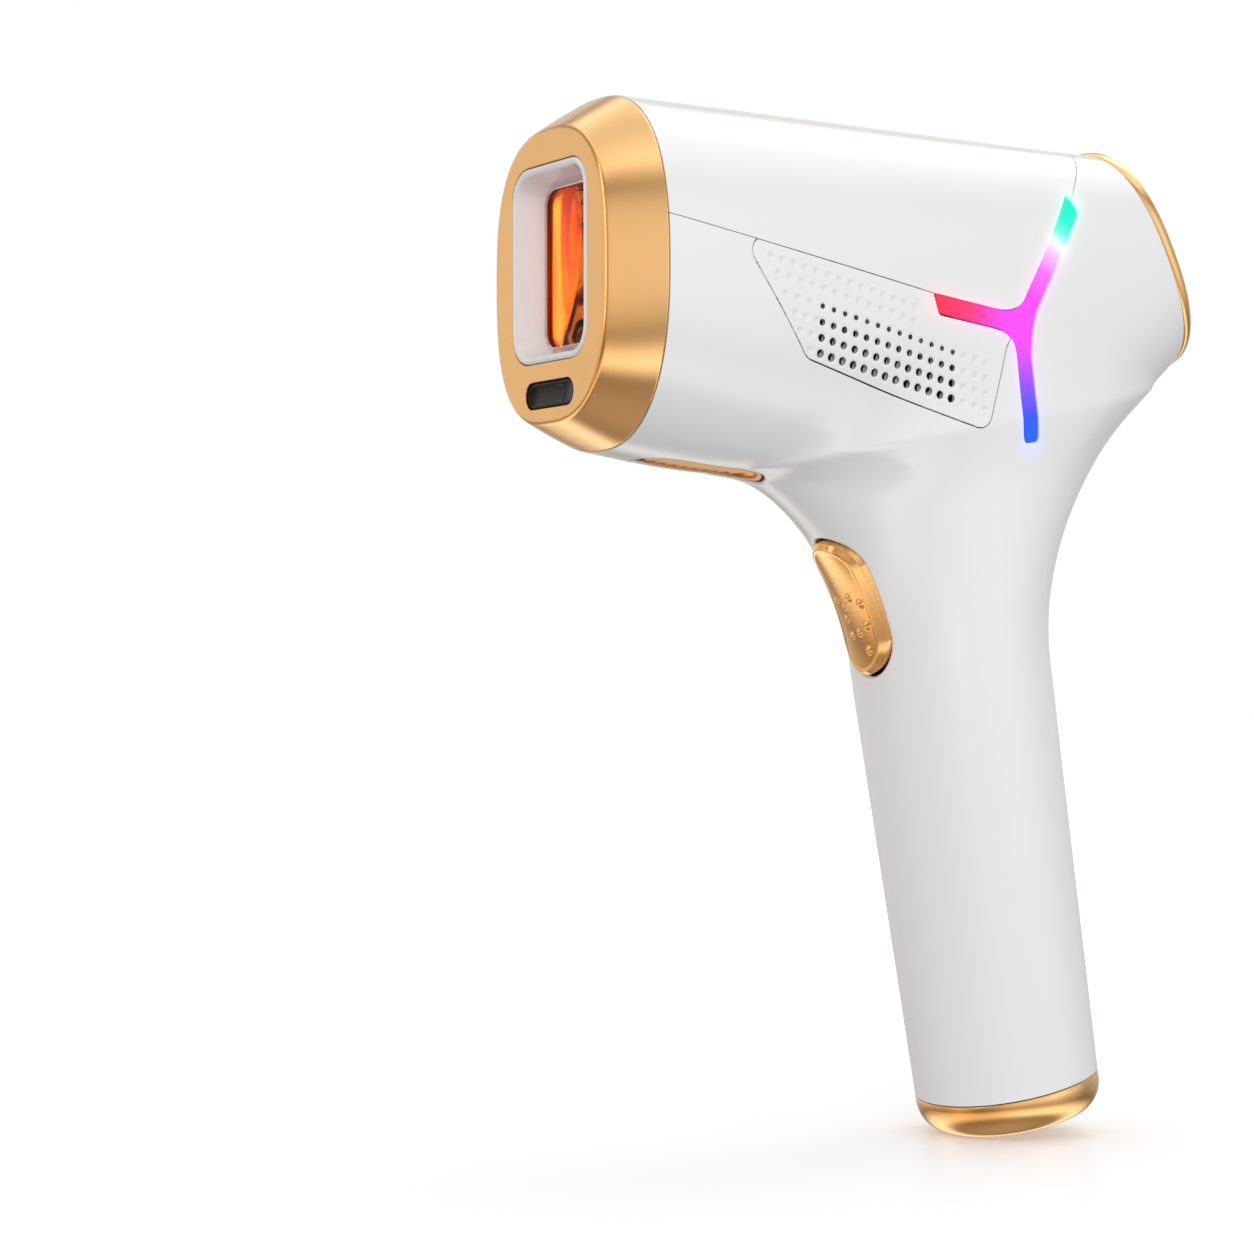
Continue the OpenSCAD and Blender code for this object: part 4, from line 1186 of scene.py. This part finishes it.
display_glass = new_finish("display_glass", Emission_Strength=0.7, Emission_Color=(0.25, 0.75, 1.0, 1))
use_group(display_glass, moulded_plastic, 0.0, Color=(0.08, 0.2, 0.3, 1), Tone_drift=0.3, Roughness=0.3)
give(display_glass, level_bars, "display_module")


# ---- rear keys --------------------------------------------------------------
# Two round gold keys, turned with a dished top and a soft edge, sit in the panel's holes.
def rear_key(name, node, body, z, r):
    t = np.linspace(0, 2 * np.pi, 64, endpoint=False)
    rows = [from_rear(np.stack([radius * np.cos(t), np.full(64, y), z + radius * np.sin(t)],
                               1)) for radius, y in
            ((r + 0.6, -0.6), (r + 0.6, -0.05), (r - 0.02, -0.02), (r - 0.02, 2.2), (r - 0.12, 2.46),
             (r - 0.38, 2.6),
             (r - 0.7, 2.6), (r * 0.6, 2.42), (r * 0.25, 2.33))]
    points, faces = loft_rows(rows)
    key = new_piece(name, points, faces, body, node)
    face_outwards(key)
    give(champagne_gold, key)
    return key


rear_key("power_key_cap", "power_button", "power_key", power_z, power_r)
rear_key("mode_key_cap", "mode_button", "mode_key", mode_z, mode_r)

# ---- flash trigger ----------------------------------------------------------
# The trigger is a gold racetrack key that follows the curve of the grip. A polished bevel
# leads up to a satin pad, which has a few small raised drops for the fingertip.
trigger_rise = 1.15
drops = ((-3.0, 1.6, 0.5), (-0.9, 0.2, 0.42), (1.6, 1.9, 0.62), (4.1, 0.4, 0.66), (-1.6, -2.4, 0.5),
         (1.4, -5.2, 0.55), (-1.2, -5.8, 0.5), (4.0, -4.1, 0.66), (3.0, -8.9, 0.6))


def grip_front(x, z):
    """How deep the grip's skin lies behind the trigger's own plane."""
    near, far = np.full(x.shape, -12.0), np.full(x.shape, 10.0)
    for _ in range(20):
        y = (near + far) / 2
        outside = skin_depth(from_trigger(np.stack([x, y, z], 1))) > 0
        near, far = np.where(outside, y, near), np.where(outside, far, y)
    return y


step = 0.17
xs, zs = np.arange(-7.2, 7.3, step), np.arange(-14.4, 14.5, step)
x, z = (a.ravel() for a in np.meshgrid(xs, zs, indexing="ij"))
edge = -racetrack_gap(x, z, trigger_w, trigger_l)
surface = grip_front(x, z)
bevel = np.clip(edge / 1.05, 0, 1)
rise = 0.3 + trigger_rise * bevel - 0.14 * np.clip((edge - 1.3) / 0.3, 0, 1)
crown = 0.15 * np.clip(1 - (x / 5.2) ** 2, 0, 1)
for drop_x, drop_z, size in drops:
    apart = np.hypot((x - drop_x) / (size * 1.15), (z - drop_z) / (size * 1.45))
    rise += 0.5 * np.clip(1 - apart ** 2, 0, 1) ** 0.7
points = np.stack([x, surface - rise - crown, z], 1)
number = np.arange(x.size).reshape(len(xs), len(zs))
faces = np.stack([number[:-1, :-1], number[:-1, 1:], number[1:, 1:], number[1:, :-1]], -1).reshape(-1, 4)
points, faces = trim(points, [tuple(f) for f in faces.tolist()], -edge)
trigger = new_piece("flash_trigger_key", from_trigger(points), faces, "trigger", "flash_trigger")
mesh = bmesh.new()
mesh.from_mesh(trigger.data)
rim = [e for e in mesh.edges if e.is_boundary]
for flare, depth in ((0.0, 9.2), (1.0, 9.2), (0.0, 10.2)):
    grown = bmesh.ops.extrude_edge_only(mesh, edges=rim)["geom"]
    rim = [e for e in grown if isinstance(e, bmesh.types.BMEdge) and e.is_boundary]
    for vert in {v for e in rim for v in e.verts}:
        at = in_trigger(np.array(vert.co)[None] * 1000 - [0, face_y, axis_z])[0]
        out = np.array([at[0], np.sign(at[2]) * max(0.0, abs(at[2]) - (trigger_l - trigger_w) / 2)])
        out = out / max(1e-6, np.hypot(*out)) * flare
        vert.co = in_metres(from_trigger(np.array([[at[0] + out[0], depth, at[2] + out[1]]])))[0]
bmesh.ops.contextual_create(mesh, geom=rim)
bmesh.ops.recalc_face_normals(mesh, faces=mesh.faces)
mesh.to_mesh(trigger.data)
mesh.free()
give(champagne_gold, trigger)
give(chassis_plastic, "trigger_guide")
give(board_green, "trigger_board")
give(black_plastic, "trigger_switch")

# ---- power parts in the grip ------------------------------------------------
# The grip holds the charging board, two flash capacitors in blue sleeves and the step-up
# transformer.
capacitor_sleeve = new_finish("capacitor_sleeve", Coat_Weight=0.4)
use_group(capacitor_sleeve, moulded_plastic, 0.004, Color=(0.03, 0.07, 0.24, 1), Tone_drift=0.2,
          Roughness=0.25)
give(capacitor_sleeve, "flash_capacitors")
ferrite = new_finish("ferrite")
use_group(ferrite, moulded_plastic, 0.03, Color=(0.07, 0.07, 0.075, 1), Tone_drift=0.3, Grain_size=900.0,
          Roughness=0.6)
give(ferrite, "step_up_transformer")
give(board_green, "power_board")

# ---- base cap ---------------------------------------------------------------
# The gold base cap plugs the grip. Its sides roll under in a wide curve, and its foot has
# the mouth of the power inlet in the middle.
base_w, base_d = 37.5, 35.6


def from_base(points):
    c, s = math.cos(base_tilt), math.sin(base_tilt)
    y = base_mid[0] + points[:, 1] * c - points[:, 2] * s
    z = base_mid[1] + points[:, 1] * s + points[:, 2] * c
    return np.stack([points[:, 0], y, z], 1)


def base_row(z, inset):
    loop = oval_loop(base_w / 2 - inset, base_d / 2 - inset, 2.1, 144)
    return from_base(np.stack([loop[:, 0], loop[:, 1], np.full(len(loop), z)], 1))


rows = []
for radius, z in ((4.0, -3.5), (4.0, -7.1), (4.15, -7.4), (4.6, -7.5)):
    t = np.linspace(0, 2 * np.pi, 144, endpoint=False)
    rows.append(from_base(np.stack([radius * np.cos(t), radius * np.sin(t), np.full(144, z)], 1)))
rows += [base_row(-7.5, inset) for inset in (11.0, 8.0, 5.4)]
rows += [base_row(-7.5 + 6 * (1 - math.cos(a)), 5 * (1 - math.sin(a))) for a in np.linspace(0.05,
                                                                                            np.pi / 2, 13)]
rows += [base_row(-0.3, 0.0), base_row(-0.12, 0.1), base_row(-0.1, 0.4), base_row(-0.1, 2.0),
         base_row(-3.5, 2.0)]
points, faces = loft_rows(rows, ring=True)
base_cap = new_piece("base_cap_moulding", points, faces, "handset", "base_cap")
face_outwards(base_cap)
give(champagne_gold, base_cap)
give(black_plastic, "power_inlet")
give(nickel, "inlet_pin")
lead_insulation = new_finish("lead_insulation")
use_group(lead_insulation, moulded_plastic, 0.01, Color=(0.45, 0.03, 0.03, 1), Tone_drift=0.15,
          Roughness=0.5)
give(lead_insulation, "inlet_leads")

# ---- floor, light and camera ------------------------------------------------
# A plain pale floor and soft boxes of light.
floor_mesh = bpy.data.meshes.new("floor")
t = np.linspace(0, 2 * np.pi, 96, endpoint=False)
rings = [0.0005, 0.15, 0.3, 0.6, 1.2, 3.0, 8.0]
points = np.concatenate([np.stack([r * np.cos(t), r * np.sin(t), np.zeros(96)], 1) for r in rings])
faces = [tuple(range(96))] + [(r * 96 + i, r * 96 + (i + 1) % 96, (r + 1) * 96 + (i + 1) % 96,
                               (r + 1) * 96 + i)
                              for r in range(len(rings) - 1) for i in range(96)]
floor_mesh.from_pydata(points.tolist(), [], faces)
floor = bpy.data.objects.new("floor", floor_mesh)
bpy.context.scene.collection.objects.link(floor)
floor.location = (0, 0, cad_bounds[0][2] - 0.0001)
floor.visible_diffuse = False
floor.visible_glossy = False
floor_finish = new_finish("floor_finish", Base_Color=(0.93, 0.93, 0.935, 1), Roughness=0.35,
                          Emission_Color=(1, 1, 1, 1))
tree = floor_finish.node_tree
place = add_node(tree, "ShaderNodeSeparateXYZ", {0: tree.nodes.new("ShaderNodeTexCoord").outputs["Object"]})
away = sums(tree, "SQRT", sums(tree, "ADD", sums(tree, "POWER", place.outputs[0], 2.0),
                               sums(tree, "POWER", place.outputs[1], 2.0)))
fade = add_node(tree, "ShaderNodeMapRange", {0: away, 1: 0.06, 2: 0.34},
                interpolation_type="SMOOTHSTEP").outputs[0]
lift = add_node(tree, "ShaderNodeMix", {"Factor": fade}, data_type="RGBA")
lift.inputs[6].default_value, lift.inputs[7].default_value = (0.18, 0.18, 0.18, 1), (1.0, 1.0, 1.0, 1)
tree.links.new(lift.outputs[2], tree.nodes["Principled BSDF"].inputs["Emission Color"])
tree.nodes["Principled BSDF"].inputs["Emission Strength"].default_value = 1.0
deep = add_node(tree, "ShaderNodeMix", {"Factor": fade}, data_type="RGBA")
deep.inputs[6].default_value, deep.inputs[7].default_value = (0.9, 0.9, 0.905, 1), (0.0, 0.0, 0.0, 1)
tree.links.new(deep.outputs[2], tree.nodes["Principled BSDF"].inputs["Base Color"])
floor.data.materials.append(floor_finish)

studio = bpy.data.worlds.new("studio")
bpy.context.scene.world = studio
studio.use_nodes = True
tree = studio.node_tree
way = add_node(tree, "ShaderNodeSeparateXYZ",
               {0: tree.nodes.new("ShaderNodeTexCoord").outputs["Generated"]})
soft = colour_ramp(tree, sums(tree, "MULTIPLY_ADD", way.outputs[2], 0.5, 0.5),
                   [(0.0, (0.55, 0.55, 0.56, 1)), (0.35, (0.64, 0.64, 0.65, 1)),
                    (0.6, (0.72, 0.72, 0.72, 1)), (1.0, (1.0, 1.0, 1.0, 1))])
bands = colour_ramp(tree, sums(tree, "MULTIPLY_ADD", way.outputs[2], 0.5, 0.5),
                    [(0.0, (0.5, 0.42, 0.36, 1)), (0.12, (0.3, 0.24, 0.19, 1)),
                     (0.2, (1.7, 1.65, 1.55, 1)), (0.26, (1.3, 1.22, 1.1, 1)),
                     (0.34, (0.28, 0.22, 0.17, 1)), (0.42, (0.7, 0.64, 0.58, 1)),
                     (0.54, (1.0, 0.98, 0.96, 1)), (0.7, (0.86, 0.84, 0.81, 1)),
                     (0.78, (0.33, 0.28, 0.22, 1)), (0.88, (1.5, 1.45, 1.4, 1)),
                     (1.0, (0.9, 0.88, 0.85, 1))])
shiny = tree.nodes.new("ShaderNodeLightPath").outputs["Is Glossy Ray"]
front = add_node(tree, "ShaderNodeMapRange", {0: way.outputs[1], 1: -0.2, 2: -0.85}).outputs[0]
warm = add_node(tree, "ShaderNodeMix", {"Factor": front}, data_type="RGBA", blend_type="MULTIPLY")
turn = sums(tree, "ARCTAN2", way.outputs[0], sums(tree, "MULTIPLY", way.outputs[1], -1.0))
round_about = sums(tree, "MULTIPLY_ADD", turn, 0.5 / math.pi, 0.5)
strips = colour_ramp(tree, round_about, [
    ((180 + degrees) / 360, (level, level, level, 1)) for degrees, level in
    ((-180, 0.6), (-70, 1.0), (-38, 1.0), (-20, 1.9), (8, 0.5), (50, 1.25), (84, 1.0), (118, 1.4),
     (165, 0.45), (180, 0.6))])
upright = add_node(tree, "ShaderNodeMapRange", {0: sums(tree, "ABSOLUTE", way.outputs[2]), 1: 0.25, 2: 0.6,
                                                3: 1.0, 4: 0.0}).outputs[0]
banded = add_node(tree, "ShaderNodeMix", {"Factor": upright}, data_type="RGBA", blend_type="MULTIPLY")
tree.links.new(bands, banded.inputs[6])
tree.links.new(strips, banded.inputs[7])
tree.links.new(banded.outputs[2], warm.inputs[6])
warm.inputs[7].default_value = (0.74, 0.58, 0.38, 1)
side = add_node(tree, "ShaderNodeMapRange", {0: sums(tree, "ABSOLUTE", way.outputs[0]), 1: 0.0, 2: 0.9,
                                             3: 0.62, 4: 1.18}).outputs[0]
shaped = add_node(tree, "ShaderNodeVectorMath", {0: soft, "Scale": side}, operation="SCALE").outputs[0]
sky = blend_colours(tree, shiny, shaped, warm.outputs[2])
seen = tree.nodes.new("ShaderNodeLightPath").outputs["Is Camera Ray"]
tree.links.new(blend_colours(tree, seen, sky, (1, 1, 1, 1)), tree.nodes["Background"].inputs["Color"])


def softbox(name, direction, distance, width, height, power):
    light = bpy.data.lights.new(name, "AREA")
    light.shape, light.size, light.size_y, light.energy = "RECTANGLE", width, height, power
    lamp_object = bpy.data.objects.new(name, light)
    aim = Vector((0.0, -0.01, 0.11))
    lamp_object.location = aim + Vector(direction).normalized() * distance
    lamp_object.rotation_euler = (lamp_object.location - aim).to_track_quat("Z", "Y").to_euler()
    bpy.context.scene.collection.objects.link(lamp_object)
    return lamp_object


softbox("front_box", (0.9, -0.42, 0.15), 1.0, 0.28, 0.9, 2.3).visible_glossy = False
softbox("top_box", (-0.15, 0.5, 0.86), 0.8, 0.4, 0.9, 1.5)
softbox("left_box", (0.1, -1.0, 0.35), 1.1, 0.25, 0.8, 1.0)

flash = bpy.data.lights.new("window_glow", "POINT")
flash.energy, flash.color, flash.shadow_soft_size = 0.007, (1.0, 0.3, 0.08), 0.002
flash_object = bpy.data.objects.new("window_glow", flash)
flash_object.location = in_metres([-3.0, 8.5, 0.0])
flash_object.visible_camera = False
flash_object.visible_glossy = False
flash_object.visible_transmission = False
bpy.context.scene.collection.objects.link(flash_object)

camera = bpy.data.cameras.new("camera")
camera.lens, camera.sensor_width, camera.clip_start = 93.8, 36.0, 0.02
camera_object = bpy.data.objects.new("camera", camera)
bpy.context.scene.collection.objects.link(camera_object)
azimuth, elevation = math.radians(60.24), math.radians(-0.98)
back = Vector((math.sin(azimuth) * math.cos(elevation), -math.cos(azimuth) * math.cos(elevation),
               math.sin(elevation)))
camera_object.location = Vector(in_metres([0, 16.6, -65.1])) + back * 0.6142
level = back.to_track_quat("Z", "Y").to_matrix() @ Matrix.Rotation(math.radians(-0.13), 3, "Z")
camera_object.rotation_euler = level.to_euler()
bpy.context.scene.camera = camera_object
bpy.context.scene.view_settings.view_transform = "Standard"
